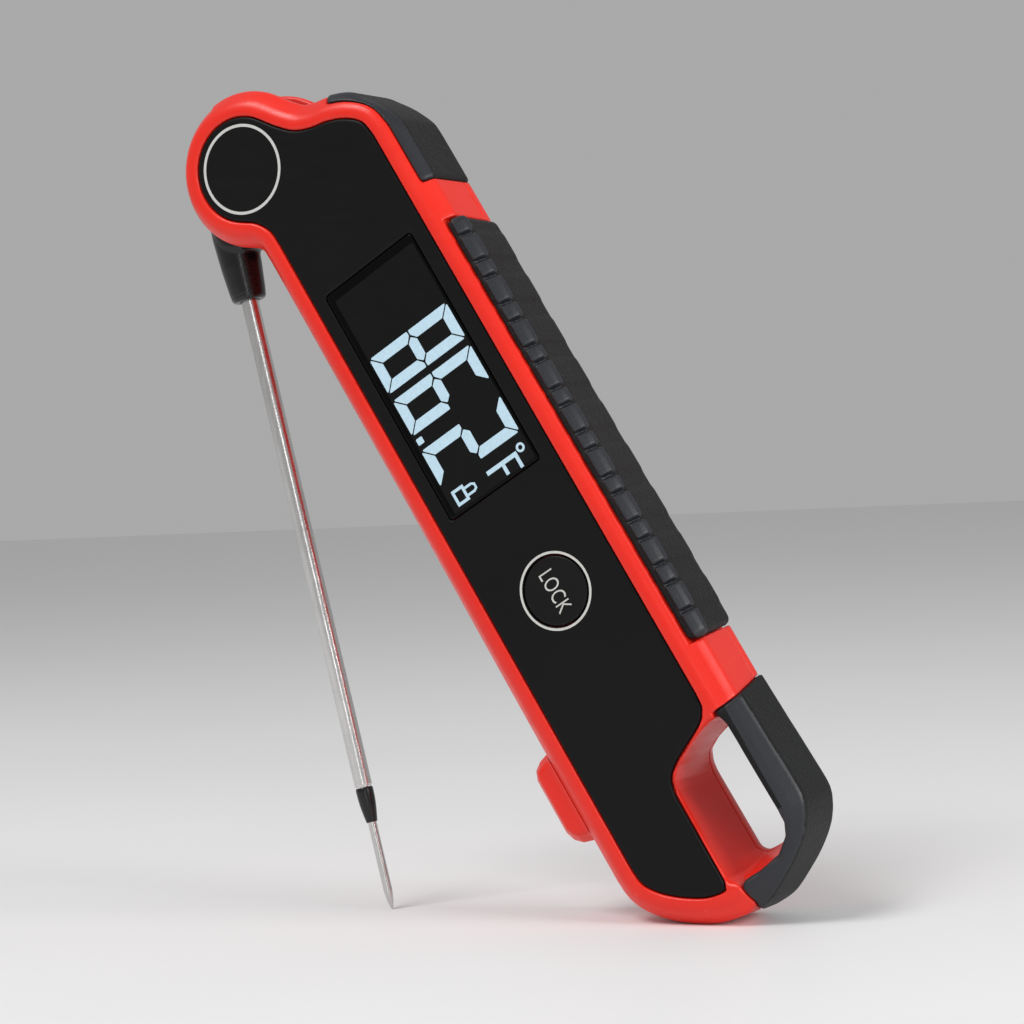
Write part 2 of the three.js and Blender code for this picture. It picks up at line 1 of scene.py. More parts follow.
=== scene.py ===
import json
import math
import bpy
import bmesh
import numpy as np
from mathutils import Matrix, Vector


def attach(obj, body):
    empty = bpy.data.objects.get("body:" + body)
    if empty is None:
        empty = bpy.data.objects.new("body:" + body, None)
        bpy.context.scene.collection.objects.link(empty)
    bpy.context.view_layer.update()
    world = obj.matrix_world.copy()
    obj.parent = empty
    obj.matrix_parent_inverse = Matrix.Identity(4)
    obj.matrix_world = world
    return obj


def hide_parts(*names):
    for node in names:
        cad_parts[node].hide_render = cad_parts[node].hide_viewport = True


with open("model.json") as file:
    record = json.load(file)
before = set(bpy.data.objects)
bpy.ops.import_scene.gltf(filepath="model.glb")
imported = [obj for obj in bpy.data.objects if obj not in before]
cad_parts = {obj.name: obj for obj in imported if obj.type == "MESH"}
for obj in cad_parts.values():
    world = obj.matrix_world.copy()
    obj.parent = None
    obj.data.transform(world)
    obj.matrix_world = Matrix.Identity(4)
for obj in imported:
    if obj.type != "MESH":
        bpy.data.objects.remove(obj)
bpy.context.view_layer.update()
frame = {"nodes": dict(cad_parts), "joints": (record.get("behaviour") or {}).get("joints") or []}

rad = math.radians

# ------------------------------------------------------------------ frames
TILT, PIVOT_U, THICK, MID = 29.7576, -12.30, 18.4, 9.2
PROBE_ANGLE = 17.8
hinge = [j for j in frame["joints"] if j["name"] == "probe_fold"][0]
P0 = Vector((hinge["pos_m"][0], -THICK / 2000, hinge["pos_m"][2]))


def turn(deg):
    """X goes to (cos, 0, sin) and local Z to (-sin, 0, cos)."""
    c, s = math.cos(rad(deg)), math.sin(rad(deg))
    return Matrix(((c, 0, -s), (0, 1, 0), (s, 0, c)))


R_H = turn(TILT)                      # handset
R_P = turn(TILT - PROBE_ANGLE)        # probe


def place_h(pts):
    """(u, v, w) in mm of the handset to metres in the frame."""
    p = np.asarray(pts, float).reshape(-1, 3)
    loc = np.stack([p[:, 0] - PIVOT_U, p[:, 2], -p[:, 1]], 1) / 1000
    return loc @ np.array(R_H).T + np.array(P0)


def place_p(pts):
    """(x, along, w) in mm of the probe: x across from the hinge axis."""
    p = np.asarray(pts, float).reshape(-1, 3)
    loc = np.stack([p[:, 0], p[:, 2], -p[:, 1]], 1) / 1000
    return loc @ np.array(R_P).T + np.array(P0)


# ------------------------------------------------------------------ outlines (as in the CAD)
def arc(cu, cv, r, a0, a1, n):
    return [[cu + r * math.cos(rad(a0 + (a1 - a0) * i / n)), cv + r * math.sin(rad(a0 + (a1 - a0) * i / n))] for i in range(n + 1)]


def smooth(pts, n):
    """Centripetal Catmull-Rom through the points, evenly spaced."""
    P = [np.array(p, float) for p in pts]
    P = [2 * P[0] - P[1]] + P + [2 * P[-1] - P[-2]]
    fine = []
    for i in range(1, len(P) - 2):
        p0, p1, p2, p3 = P[i - 1:i + 3]
        t0 = 0
        t1 = t0 + np.linalg.norm(p1 - p0) ** .5
        t2 = t1 + np.linalg.norm(p2 - p1) ** .5
        t3 = t2 + np.linalg.norm(p3 - p2) ** .5
        for t in np.linspace(t1, t2, 24, endpoint=False):
            a1 = (t1 - t) / (t1 - t0) * p0 + (t - t0) / (t1 - t0) * p1
            a2 = (t2 - t) / (t2 - t1) * p1 + (t - t1) / (t2 - t1) * p2
            a3 = (t3 - t) / (t3 - t2) * p2 + (t - t2) / (t3 - t2) * p3
            b1 = (t2 - t) / (t2 - t0) * a1 + (t - t0) / (t2 - t0) * a2
            b2 = (t3 - t) / (t3 - t1) * a2 + (t - t1) / (t3 - t1) * a3
            fine.append((t2 - t) / (t2 - t1) * b1 + (t - t1) / (t2 - t1) * b2)
    fine.append(P[-2])
    fine = np.array(fine)
    d = np.r_[0, np.cumsum(np.linalg.norm(np.diff(fine, axis=0), axis=1))]
    s = np.linspace(0, d[-1], n + 1)
    return [[float(np.interp(x, d, fine[:, 0])), float(np.interp(x, d, fine[:, 1]))] for x in s]


lobe = arc(PIVOT_U, 0, 9.4, 125, 322, 40)
neck = smooth([[-4.9, -5.8], [-2.6, -2.6], [0.2, 0.4], [3.3, 2.0], [6.7, 3.0], [10.0, 4.7], [12.5, 7.2], [13.2, 10.5]], 34)[1:]
neck_left = smooth([[-13.2, 16.2], [-13.5, 12.6], [-15.2, 9.7], [-17.7, 7.7]], 14)[:-1]
foot = smooth([[-13.2, 143.0], [-12.8, 146.1], [-11.1, 148.6], [-8.9, 150.6], [-6.1, 152.5], [-3.3, 153.9], [0.0, 154.6]], 20)
foot_right = smooth([[0.0, 154.6], [3.0, 153.9], [6.2, 152.5], [9.8, 150.6], [12.9, 148.1], [14.4, 144.9], [14.3, 141.0], [13.4, 135.0]], 24)[1:]
BODY = neck_left + lobe[:-1] + neck + [[13.2, 26.5], [13.2, 126]] + foot_right[::-1] + foot[::-1]
PANEL = (neck_left + lobe[:-1] + neck + [[13.2, 124.0]]
         + smooth([[13.0, 126.4], [11.8, 128.1], [10.0, 129.1], [6.1, 130.8], [3.3, 132.2], [1.4, 133.9], [0.6, 136.4]], 20)
         + [[0.55, 153.2], [0.2, 154.4]] + foot[::-1][1:])
LOOP_FRONT = [[0.95, 137.2], [1.05, 136.0], [1.8, 134.2], [3.6, 132.6], [6.4, 131.2], [10.2, 129.8], [12.8, 129.2], [14.3, 129.6], [14.8, 131.0],
              [15.1, 147.4], [14.8, 149.8], [13.6, 151.8], [10.8, 153.9], [6.3, 154.6], [2.8, 154.5], [1.2, 153.4]]
LOOP_BACK = [[3.3, 136.0], [3.3, 135.0], [3.5, 133.4], [4.3, 131.6], [6.8, 130.4], [10.2, 129.6], [12.8, 129.2], [14.3, 129.6], [14.8, 131.0],
             [15.1, 147.0], [14.7, 148.8], [13.5, 150.4], [10.8, 151.0], [6.8, 151.1], [4.4, 150.9], [3.4, 149.8]]
LOOP_DEEP = 15.0
CAVITY = [[-16, 24], [-15.9, 18.6], [-14.6, 16.9], [-12.3, 16.4], [-5.0, 15.2], [1.0, 10.6], [4.6, 6.6], [7.0, 5.6], [9.6, 6.3], [12.6, 8.9], [13.9, 12.4],
          [13.9, 119.6], [12.7, 123.4], [9.4, 126.2], [4.0, 128.8], [0.2, 131.8], [-1.0, 134.6], [-1.0, 150.4], [-3.6, 151.2], [-7.0, 149.6], [-11.0, 146.6], [-13.8, 143.6], [-16, 139.6]]
LOOP_CORE = [[1.5, 158.3], [4.4, 158.0], [7.6, 157.0], [10.8, 155.3], [13.8, 153.0], [16.2, 149.9], [17.5, 146.2], [17.7, 142.0], [17.7, 122.0],
             [16.1, 122.0], [16.1, 143.0], [15.9, 147.9], [14.7, 151.2], [13.0, 152.4], [12.4, 150.3], [1.5, 150.3]]
BAR = [[14.2, 118], [40, 118], [40, 220], [2.9, 220], [2.9, 153.4], [8.0, 153.0], [12.4, 150.2], [14.2, 146.5]]
PART = 13.5                           # parting plane between the covers
BUTTON, BUTTON_R = (0.29, 96.1), 6.05
SCREWS = [(7.6, 10.2), (-13.0, 20.4), (10.6, 121.0), (-12.7, 97.4)]
DOOR = (-12.6, 91.5, 0.0, 147.6)
DOOR_SCREW = (-6.3, 95.6)
RIM, WALL, GRIP_WALL, RIB_WALL, LOOP_WALL = 2.95, 4.85, 5.35, 6.10, 5.85


# ------------------------------------------------------------------ distance fields
def poly_sdf(pts, X, Y):
    pts = np.asarray(pts, np.float32)
    d = np.full(X.shape, 1e9, np.float32)
    inside = np.zeros(X.shape, bool)
    n = len(pts)
    for i in range(n):
        a, b = pts[i], pts[(i + 1) % n]
        e = b - a
        wx, wy = X - a[0], Y - a[1]
        t = np.clip((wx * e[0] + wy * e[1]) / max(float(e @ e), 1e-12), 0, 1)
        d = np.minimum(d, (wx - e[0] * t) ** 2 + (wy - e[1] * t) ** 2)
        if a[1] != b[1]:
            c = (a[1] > Y) != (b[1] > Y)
            inside ^= c & (X < (b[0] - a[0]) * (Y - a[1]) / (b[1] - a[1]) + a[0])
    d = np.sqrt(d)
    return np.where(inside, -d, d).astype(np.float32)


def smax(a, b, k):
    h = np.maximum(k - np.abs(a - b), 0) / k
    return np.maximum(a, b) + h * h * k * 0.25


def smin(a, b, k):
    h = np.maximum(k - np.abs(a - b), 0) / k
    return np.minimum(a, b) - h * h * k * 0.25


def ease(x):
    t = np.clip(x, 0, 1)
    return t * t * (3 - 2 * t)


def fillet(pts, radii, n=6):
    """Rounds the corners of a closed outline."""
    out, m = [], len(pts)
    for i in range(m):
        p, a, b = np.array(pts[i], float), np.array(pts[i - 1], float), np.array(pts[(i + 1) % m], float)
        r = radii[i] if isinstance(radii, (list, tuple)) else radii
        if r <= 0:
            out.append(p.tolist())
            continue
        da, db = a - p, b - p
        la, lb = np.linalg.norm(da), np.linalg.norm(db)
        da, db = da / la, db / lb
        ang = math.acos(max(-1, min(1, float(da @ db))))
        if abs(math.pi - ang) < 1e-3:
            out.append(p.tolist())
            continue
        t = min(r / math.tan(ang / 2), la * .49, lb * .49)
        p0, p2 = p + da * t, p + db * t
        for k in range(n + 1):
            s = k / n
            out.append(((1 - s) ** 2 * p0 + 2 * s * (1 - s) * p + s * s * p2).tolist())
    return out


def rrect(u0, v0, u1, v1, r, n=6):
    return (arc(u1 - r, v0 + r, r, -90, 0, n) + arc(u1 - r, v1 - r, r, 0, 90, n)
            + arc(u0 + r, v1 - r, r, 90, 180, n) + arc(u0 + r, v0 + r, r, 180, 270, n))


class Grid:
    def __init__(self, h, lo, hi):
        self.h, self.lo = h, np.array(lo, float)
        self.x, self.y, self.z = [np.arange(a, b + h, h, dtype=np.float32) for a, b in zip(lo, hi)]
        self.X, self.Y = np.meshgrid(self.x, self.y, indexing="ij")
        self.s, self.S = None, None

    def poly(self, pts):
        return poly_sdf(pts, self.X, self.Y)

    def lift(self, a2):
        return a2[:, :, None]

    @property
    def W(self):
        return self.z[None, None, :]

    def slab(self, w0, w1):
        return np.maximum(w0 - self.W, self.W - w1)

    def prism(self, pts, w0, w1, k=0.0):
        a, b = self.lift(self.poly(pts)), self.slab(w0, w1)
        return smax(a, b, k) if k else np.maximum(a, b)

    def disc(self, u, v, r, w0, w1, k=0.0):
        a = self.lift(np.hypot(self.X - u, self.Y - v) - r)
        return smax(a, self.slab(w0, w1), k) if k else np.maximum(a, self.slab(w0, w1))

    def skin(self):
        """Distance outside the body's outline, drawn in at the corner and widened towards the loop."""
        if self.s is None:
            s = self.poly(BODY)
            swell = np.where(self.X < -12.5, -0.35 + 0.3 * ease((self.Y - 60) / 60), 0)
            swell = swell - 1.5 * np.exp(-((self.X - 16.2) ** 2 + (self.Y - 4.6) ** 2) / 16)
            swell = swell + 0.5 * ease((self.Y - 50) / 60) * (self.X > 8) * (1 - ease((self.Y - 136) / 6))
            self.s = s - swell * ease((s - RIM + 0.4) / (WALL - RIM))
        return self.s

    def profile(self, pts):
        """Solid with the body's outline and this section of (distance outside, depth)."""
        s = np.arange(-8, 14, 0.06, dtype=np.float32)
        A, B = np.meshgrid(s, self.z, indexing="ij")
        table = poly_sdf(pts, A, B)
        q = np.clip(self.skin(), -7.9, 13.9)
        out = np.empty(q.shape + (len(self.z),), np.float32)
        i = (q - s[0]) / 0.06
        j = np.floor(i).astype(int)
        f = (i - j).astype(np.float32)
        for k in range(len(self.z)):
            out[:, :, k] = table[j, k] * (1 - f) + table[j + 1, k] * f
        return out


def nets(g, F):
    """Surface nets: a closed quad mesh where F crosses zero, its points pulled onto the surface."""
    F = np.asarray(F, np.float32)
    F[0], F[-1] = np.maximum(F[0], .5), np.maximum(F[-1], .5)
    F[:, 0], F[:, -1] = np.maximum(F[:, 0], .5), np.maximum(F[:, -1], .5)
    F[:, :, 0], F[:, :, -1] = np.maximum(F[:, :, 0], .5), np.maximum(F[:, :, -1], .5)
    neg = F < 0
    c = np.zeros(tuple(n - 1 for n in F.shape), np.uint8)
    for dx in (0, 1):
        for dy in (0, 1):
            for dz in (0, 1):
                c += neg[dx:dx + c.shape[0], dy:dy + c.shape[1], dz:dz + c.shape[2]]
    act = (c > 0) & (c < 8)
    I = np.argwhere(act)
    index = np.full(c.shape, -1, np.int64)
    index[act] = np.arange(len(I))
    pos, cnt = np.zeros((len(I), 3)), np.zeros(len(I))
    corners = [(a, b, d) for a in (0, 1) for b in (0, 1) for d in (0, 1)]
    val = {q: F[I[:, 0] + q[0], I[:, 1] + q[1], I[:, 2] + q[2]] for q in corners}
    for a in corners:
        for ax in range(3):
            if a[ax]:
                continue
            b = list(a)
            b[ax] = 1
            fa, fb = val[a], val[tuple(b)]
            m = (fa < 0) != (fb < 0)
            t = np.where(m, fa / np.where(m, fa - fb, 1), 0)
            p = np.tile(np.array(a, float), (len(I), 1))
            p[:, ax] += t
            pos[m] += p[m]
            cnt[m] += 1
    pos = I + pos / cnt[:, None]
    base = pos.copy()
    shape = np.array(F.shape)

    def sample(p):
        p = np.clip(p, 0, shape - 1.001)
        i = np.floor(p).astype(int)
        f = p - i
        r = 0
        for q in corners:
            w = 1
            for ax in range(3):
                w = w * (f[:, ax] if q[ax] else 1 - f[:, ax])
            r = r + w * F[i[:, 0] + q[0], i[:, 1] + q[1], i[:, 2] + q[2]]
        return r

    for _ in range(2):
        f0 = sample(pos)
        grad = np.stack([(sample(pos + e) - sample(pos - e)) for e in np.eye(3) * .5], 1)
        step = f0[:, None] * grad / np.maximum((grad ** 2).sum(1, keepdims=True), 1e-6)
        pos = base + np.clip(pos - np.clip(step, -.4, .4) - base, -.45, .45)
    quads = []
    for ax in range(3):
        o = [k for k in range(3) if k != ax]
        sl0, sl1 = [slice(None)] * 3, [slice(None)] * 3
        sl0[ax], sl1[ax] = slice(0, -1), slice(1, None)
        a, b = neg[tuple(sl0)], neg[tuple(sl1)]
        for flip, m in ((False, a & ~b), (True, b & ~a)):
            E = np.argwhere(m)
            E = E[(E[:, o[0]] > 0) & (E[:, o[1]] > 0) & (E[:, o[0]] < shape[o[0]] - 1) & (E[:, o[1]] < shape[o[1]] - 1)]
            q = []
            for d0, d1 in ((-1, -1), (0, -1), (0, 0), (-1, 0)):
                k = E.copy()
                k[:, o[0]] += d0
                k[:, o[1]] += d1
                q.append(index[k[:, 0], k[:, 1], k[:, 2]])
            q = np.stack(q, 1)
            if flip != (ax == 1):
                q = q[:, ::-1]
            quads.append(q)
    quads = np.concatenate(quads)
    return g.lo + pos * g.h, quads


def mesh_from(name, verts, faces, material, body, replaces=(), smooth_shade=True):
    me = bpy.data.meshes.new(name)
    faces = np.asarray(faces)
    me.vertices.add(len(verts))
    me.vertices.foreach_set("co", np.asarray(verts, np.float32).ravel())
    n = faces.shape[1]
    me.loops.add(faces.size)
    me.loops.foreach_set("vertex_index", faces.astype(np.int32).ravel())
    me.polygons.add(len(faces))
    me.polygons.foreach_set("loop_start", np.arange(0, faces.size, n, dtype=np.int32))
    me.update(calc_edges=True)
    me.validate()
    if smooth_shade:
        me.polygons.foreach_set("use_smooth", np.ones(len(me.polygons), bool))
    ob = bpy.data.objects.new(name, me)
    bpy.context.scene.collection.objects.link(ob)
    me.materials.append(material)
    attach(ob, body)
    if replaces:
        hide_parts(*replaces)
    return ob


def normals_from(ob, g, F, unplace):
    """Shading normals from the field's own gradient, so that coarse facets don't show."""
    me = ob.data
    co = np.empty(len(me.vertices) * 3, np.float32)
    me.vertices.foreach_get("co", co)
    p = (unplace(co.reshape(-1, 3)) - g.lo) / g.h
    shape = np.array(F.shape)

    def sample(p):
        p = np.clip(p, 0, shape - 1.001)
        i = np.floor(p).astype(int)
        f = p - i
        r = 0
        for a in (0, 1):
            for b in (0, 1):
                for c in (0, 1):
                    w = (f[:, 0] if a else 1 - f[:, 0]) * (f[:, 1] if b else 1 - f[:, 1]) * (f[:, 2] if c else 1 - f[:, 2])
                    r = r + w * F[i[:, 0] + a, i[:, 1] + b, i[:, 2] + c]
        return r

    e = np.eye(3) * .6
    n = np.stack([sample(p + e[k]) - sample(p - e[k]) for k in range(3)], 1)
    return n / np.maximum(np.linalg.norm(n, axis=1, keepdims=True), 1e-9)


def unplace_h(co):
    loc = (co.astype(float) - np.array(P0)) @ np.array(R_H) * 1000
    return np.stack([loc[:, 0] + PIVOT_U, -loc[:, 2], loc[:, 1]], 1)


def unplace_p(co):
    loc = (co.astype(float) - np.array(P0)) @ np.array(R_P) * 1000
    return np.stack([loc[:, 0], -loc[:, 2], loc[:, 1]], 1)


def thin(ob, ratio):
    """Collapses the flat areas to fewer faces."""
    m = ob.modifiers.new("thin", "DECIMATE")
    m.ratio = ratio
    dg = bpy.context.evaluated_depsgraph_get()
    me = bpy.data.meshes.new_from_object(ob.evaluated_get(dg))
    ob.modifiers.remove(m)
    old = ob.data
    ob.data = me
    bpy.data.meshes.remove(old)
    return ob


def carved(name, g, F, material, body="handset", replaces=(), probe=False, most=150000, second=None):
    """Meshes the field F on g as one moulded piece with rounded edges."""
    pts, quads = nets(g, F)
    place, back, R = (place_p, unplace_p, R_P) if probe else (place_h, unplace_h, R_H)
    ob = mesh_from(name, place(pts), quads, material, body, replaces)
    if 2 * len(quads) > most:
        ob = thin(ob, most / (2 * len(quads)))
    n = normals_from(ob, g, F, back)
    loc = np.stack([n[:, 0], n[:, 2], -n[:, 1]], 1) @ np.array(R).T
    me = ob.data
    me.polygons.foreach_set("use_smooth", np.ones(len(me.polygons), bool))
    if second:
        m2, test = second
        me.materials.append(m2)
        c = np.empty(len(me.polygons) * 3, np.float32)
        me.polygons.foreach_get("center", c)
        me.polygons.foreach_set("material_index", test(back(c.reshape(-1, 3))).astype(np.int32))
    me.normals_split_custom_set_from_vertices([tuple(v) for v in loc])
    print(name, len(me.polygons))
    return ob


def lathe(name, profile, material, body, replaces=(), n=64, place=None, closed=False, sharp=30):
    """Turned piece about the probe's axis: profile of (radius, along). Small radii are drawn in the profile."""
    place = place or (lambda r, a, t: (-10.2 + r * math.cos(t), a, MID + r * math.sin(t)))
    verts, faces, rings = [], [], []
    for r, a in profile:
        if r < 1e-4:
            rings.append([len(verts)])
            verts.append(place(0, a, 0))
        else:
            rings.append(list(range(len(verts), len(verts) + n)))
            verts += [place(r, a, 2 * math.pi * k / n) for k in range(n)]
    pairs = list(zip(rings[:-1], rings[1:])) + ([(rings[-1], rings[0])] if closed else [])
    for A, B in pairs:
        for k in range(n):
            k2 = (k + 1) % n
            if len(A) == 1 and len(B) == 1:
                continue
            if len(A) == 1:
                faces.append((A[0], B[k], B[k2]))
            elif len(B) == 1:
                faces.append((A[k], B[0], A[k2]))
            else:
                faces.append((A[k], B[k], B[k2], A[k2]))
    me = bpy.data.meshes.new(name)
    me.from_pydata([tuple(v) for v in place_p(verts)], [], faces)
    bm = bmesh.new()
    bm.from_mesh(me)
    bmesh.ops.recalc_face_normals(bm, faces=bm.faces)
    for e in bm.edges:
        e.smooth = len(e.link_faces) == 2 and e.calc_face_angle(0) < rad(sharp)
    for f in bm.faces:
        f.smooth = True
    bm.to_mesh(me)
    bm.free()
    ob = bpy.data.objects.new(name, me)
    bpy.context.scene.collection.objects.link(ob)
    me.materials.append(material)
    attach(ob, body)
    if replaces:
        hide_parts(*replaces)
    return ob


# ------------------------------------------------------------------ materials
def mat(name):
    m = bpy.data.materials.new(name)
    m.use_nodes = True
    nt = m.node_tree
    for n in list(nt.nodes):
        nt.nodes.remove(n)
    out = nt.nodes.new("ShaderNodeOutputMaterial")
    b = nt.nodes.new("ShaderNodeBsdfPrincipled")
    nt.links.new(b.outputs[0], out.inputs[0])
    return m, nt, b


def noise(nt, scale, detail=4.0, rough=.55, coord="Object", stretch=None, distortion=0.0):
    tc = nt.nodes.new("ShaderNodeTexCoord")
    n = nt.nodes.new("ShaderNodeTexNoise")
    n.inputs["Scale"].default_value = scale
    n.inputs["Detail"].default_value = detail
    n.inputs["Roughness"].default_value = rough
    n.inputs["Distortion"].default_value = distortion
    src = tc.outputs[coord]
    if stretch:
        mp = nt.nodes.new("ShaderNodeMapping")
        mp.inputs["Scale"].default_value = stretch[0]
        mp.inputs["Rotation"].default_value = stretch[1]
        nt.links.new(src, mp.inputs["Vector"])
        src = mp.outputs[0]
    nt.links.new(src, n.inputs["Vector"])
    return n


def ramp(nt, src, stops, interp="LINEAR"):
    r = nt.nodes.new("ShaderNodeValToRGB")
    r.color_ramp.interpolation = interp
    el = r.color_ramp.elements
    while len(el) < len(stops):
        el.new(0.5)
    for e, (p, c) in zip(el, stops):
        e.position = p
        e.color = (c, c, c, 1) if isinstance(c, (int, float)) else tuple(c) + ((1,) if len(c) == 3 else ())
    nt.links.new(src, r.inputs[0])
    return r


def bump(nt, src, strength, dist, prev=None):
    b = nt.nodes.new("ShaderNodeBump")
    b.inputs["Strength"].default_value = strength
    b.inputs["Distance"].default_value = dist
    nt.links.new(src, b.inputs["Height"])
    if prev is not None:
        nt.links.new(prev.outputs[0], b.inputs["Normal"])
    return b


def mul(nt, a, b, op="MULTIPLY", clamp=False):
    m = nt.nodes.new("ShaderNodeMath")
    m.operation = op
    m.use_clamp = clamp
    for i, x in enumerate((a, b)):
        if isinstance(x, (int, float)):
            m.inputs[i].default_value = x
        else:
            nt.links.new(x, m.inputs[i])
    return m.outputs[0]


def edges(nt, lo=.52, hi=.62):
    """Worn convex edges, from the mesh's own curvature."""
    geo = nt.nodes.new("ShaderNodeNewGeometry")
    r = ramp(nt, geo.outputs["Pointiness"], [(lo, 0.0), (hi, 1.0)])
    return r.outputs["Color"]


def blend_col(nt, fac, a, b):
    m = nt.nodes.new("ShaderNodeMix")
    m.data_type = "RGBA"
    for i, x in ((6, a), (7, b)):
        if isinstance(x, tuple):
            m.inputs[i].default_value = x if len(x) == 4 else x + (1,)
        else:
            nt.links.new(x, m.inputs[i])
    nt.links.new(fac, m.inputs[0])
    return m.outputs[2]


def moulded(name, base, dark, light, rough, grain=900.0, grain_h=.00002, strength=.25, wave_h=.00012, coat=0.0, sheen=0.0, wear=.15, spec=.5, sss=0.0):
    """Moulded plastic or rubber: a fine grain, long soft sink marks, patches of gloss and rubbed edges."""
    m, nt, b = mat(name)
    big = noise(nt, 26, 3)
    fine = noise(nt, grain, 3, .6)
    scuff = noise(nt, 160, 6, .7, stretch=((1, 1, 5), (0, .5, .2)))
    col = blend_col(nt, ramp(nt, big.outputs["Fac"], [(.35, 0.0), (.7, 1.0)]).outputs[0], dark, base)
    if wear:
        f = mul(nt, edges(nt), mul(nt, ramp(nt, scuff.outputs["Fac"], [(.4, 0.0), (.65, 1.0)]).outputs[0], wear))
        col = blend_col(nt, f, col, light)
    nt.links.new(col, b.inputs["Base Color"])
    r = ramp(nt, scuff.outputs["Fac"], [(.3, rough[0]), (.72, rough[1])])
    nt.links.new(r.outputs[0], b.inputs["Roughness"])
    b1 = bump(nt, big.outputs["Fac"], .35, wave_h)
    b2 = bump(nt, fine.outputs["Fac"], strength, grain_h, b1)
    nt.links.new(b2.outputs[0], b.inputs["Normal"])
    b.inputs["Specular IOR Level"].default_value = spec
    if coat:
        b.inputs["Coat Weight"].default_value = coat
        b.inputs["Coat Roughness"].default_value = .12
    if sheen:
        b.inputs["Sheen Weight"].default_value = sheen
        b.inputs["Sheen Roughness"].default_value = .4
    if sss:
        b.inputs["Subsurface Weight"].default_value = sss
        b.inputs["Subsurface Radius"].default_value = (.002, .0006, .0003)
        b.inputs["Subsurface Scale"].default_value = .5
    return m


def metal(name, base, rough=(.18, .34), stretch=((1, 1, .02), (0, 0, 0)), scale=900, bump_h=.000012, tint=None, aniso=0.0, metallic=1.0):
    """Drawn or turned metal with lines along its length, handling smudges and slight tarnish."""
    m, nt, b = mat(name)
    lines = noise(nt, scale, 3, .6, stretch=stretch)
    smudge = noise(nt, 90, 5, .6)
    col = blend_col(nt, ramp(nt, smudge.outputs["Fac"], [(.4, 0.0), (.75, 1.0)]).outputs[0], base, tint or tuple(c * .82 for c in base))
    nt.links.new(col, b.inputs["Base Color"])
    b.inputs["Metallic"].default_value = metallic
    mixr = mul(nt, ramp(nt, lines.outputs["Fac"], [(.3, rough[0]), (.7, rough[1])]).outputs[0], ramp(nt, smudge.outputs["Fac"], [(.35, .85), (.7, 1.25)]).outputs[0])
    nt.links.new(mixr, b.inputs["Roughness"])
    nt.links.new(bump(nt, lines.outputs["Fac"], .4, bump_h).outputs[0], b.inputs["Normal"])
    return m


def tilt_rot(deg):
    return (0, rad(deg), 0)


RED = moulded("moulded_red", (.83, .021, .008), (.76, .015, .006), (.95, .20, .14), (.30, .44), grain=1500, grain_h=.000012, strength=.3, wave_h=.00003, coat=.05, wear=.25, spec=.4, sss=.05)
PANEL_M = moulded("panel_black", (.0046, .0046, .005), (.0036, .0036, .0039), (.03, .03, .032), (.36, .48), grain=2600, grain_h=.000008, strength=.25, wave_h=.00002, wear=.2, spec=.16)
HUB_M = moulded("hub_gloss_black", (.006, .006, .0065), (.004, .004, .0045), (.035, .035, .038), (.2, .34), grain=1800, grain_h=.000006, strength=.2, wave_h=.00004, coat=.1, wear=.3, spec=.38)
BUTTON_M = moulded("button_black", (.0052, .0052, .0056), (.004, .004, .0044), (.04, .04, .042), (.38, .5), grain=3200, grain_h=.00001, strength=.4, wave_h=.00001, wear=.3, spec=.18)
SIL = moulded("silicone_grey", (.10, .105, .11), (.075, .08, .085), (.2, .2, .21), (.55, .75), grain=1400, sheen=.1)


def rubber(name, base, dark, light, grain_scale, depth, rough=(.5, .68), sheen=.04, spec=.22):
    """Overmoulded elastomer with a pebbled, spark-eroded skin, its colour lighter on the raised tops of the pebbles."""
    m, nt, b = mat(name)
    tc = nt.nodes.new("ShaderNodeTexCoord")
    v = nt.nodes.new("ShaderNodeTexVoronoi")
    v.inputs["Scale"].default_value = grain_scale
    v.inputs["Randomness"].default_value = 1.0
    wob = noise(nt, grain_scale * .45, 4, .6)
    nt.links.new(tc.outputs["Object"], v.inputs["Vector"])
    fine = noise(nt, grain_scale * 3.5, 4, .65)
    big = noise(nt, 30, 4)
    peb = ramp(nt, v.outputs["Distance"], [(0.0, 1.0), (.75, 0.0)], "EASE")
    h = mul(nt, peb.outputs[0], wob.outputs["Fac"])
    col = blend_col(nt, ramp(nt, big.outputs["Fac"], [(.3, 0.0), (.7, 1.0)]).outputs[0], dark, base)
    col = blend_col(nt, mul(nt, ramp(nt, h, [(.25, 0.0), (.6, 1.0)]).outputs[0], .35), col, light)
    nt.links.new(col, b.inputs["Base Color"])
    nt.links.new(ramp(nt, fine.outputs["Fac"], [(.3, rough[0]), (.7, rough[1])]).outputs[0], b.inputs["Roughness"])
    b1 = bump(nt, h, .8, depth)
    b2 = bump(nt, fine.outputs["Fac"], .5, depth * .3, b1)
    nt.links.new(b2.outputs[0], b.inputs["Normal"])
    b.inputs["Specular IOR Level"].default_value = spec
    b.inputs["Sheen Weight"].default_value = sheen
    b.inputs["Sheen Roughness"].default_value = .35
    b.inputs["Sheen Tint"].default_value = (.85, .9, 1, 1)
    return m


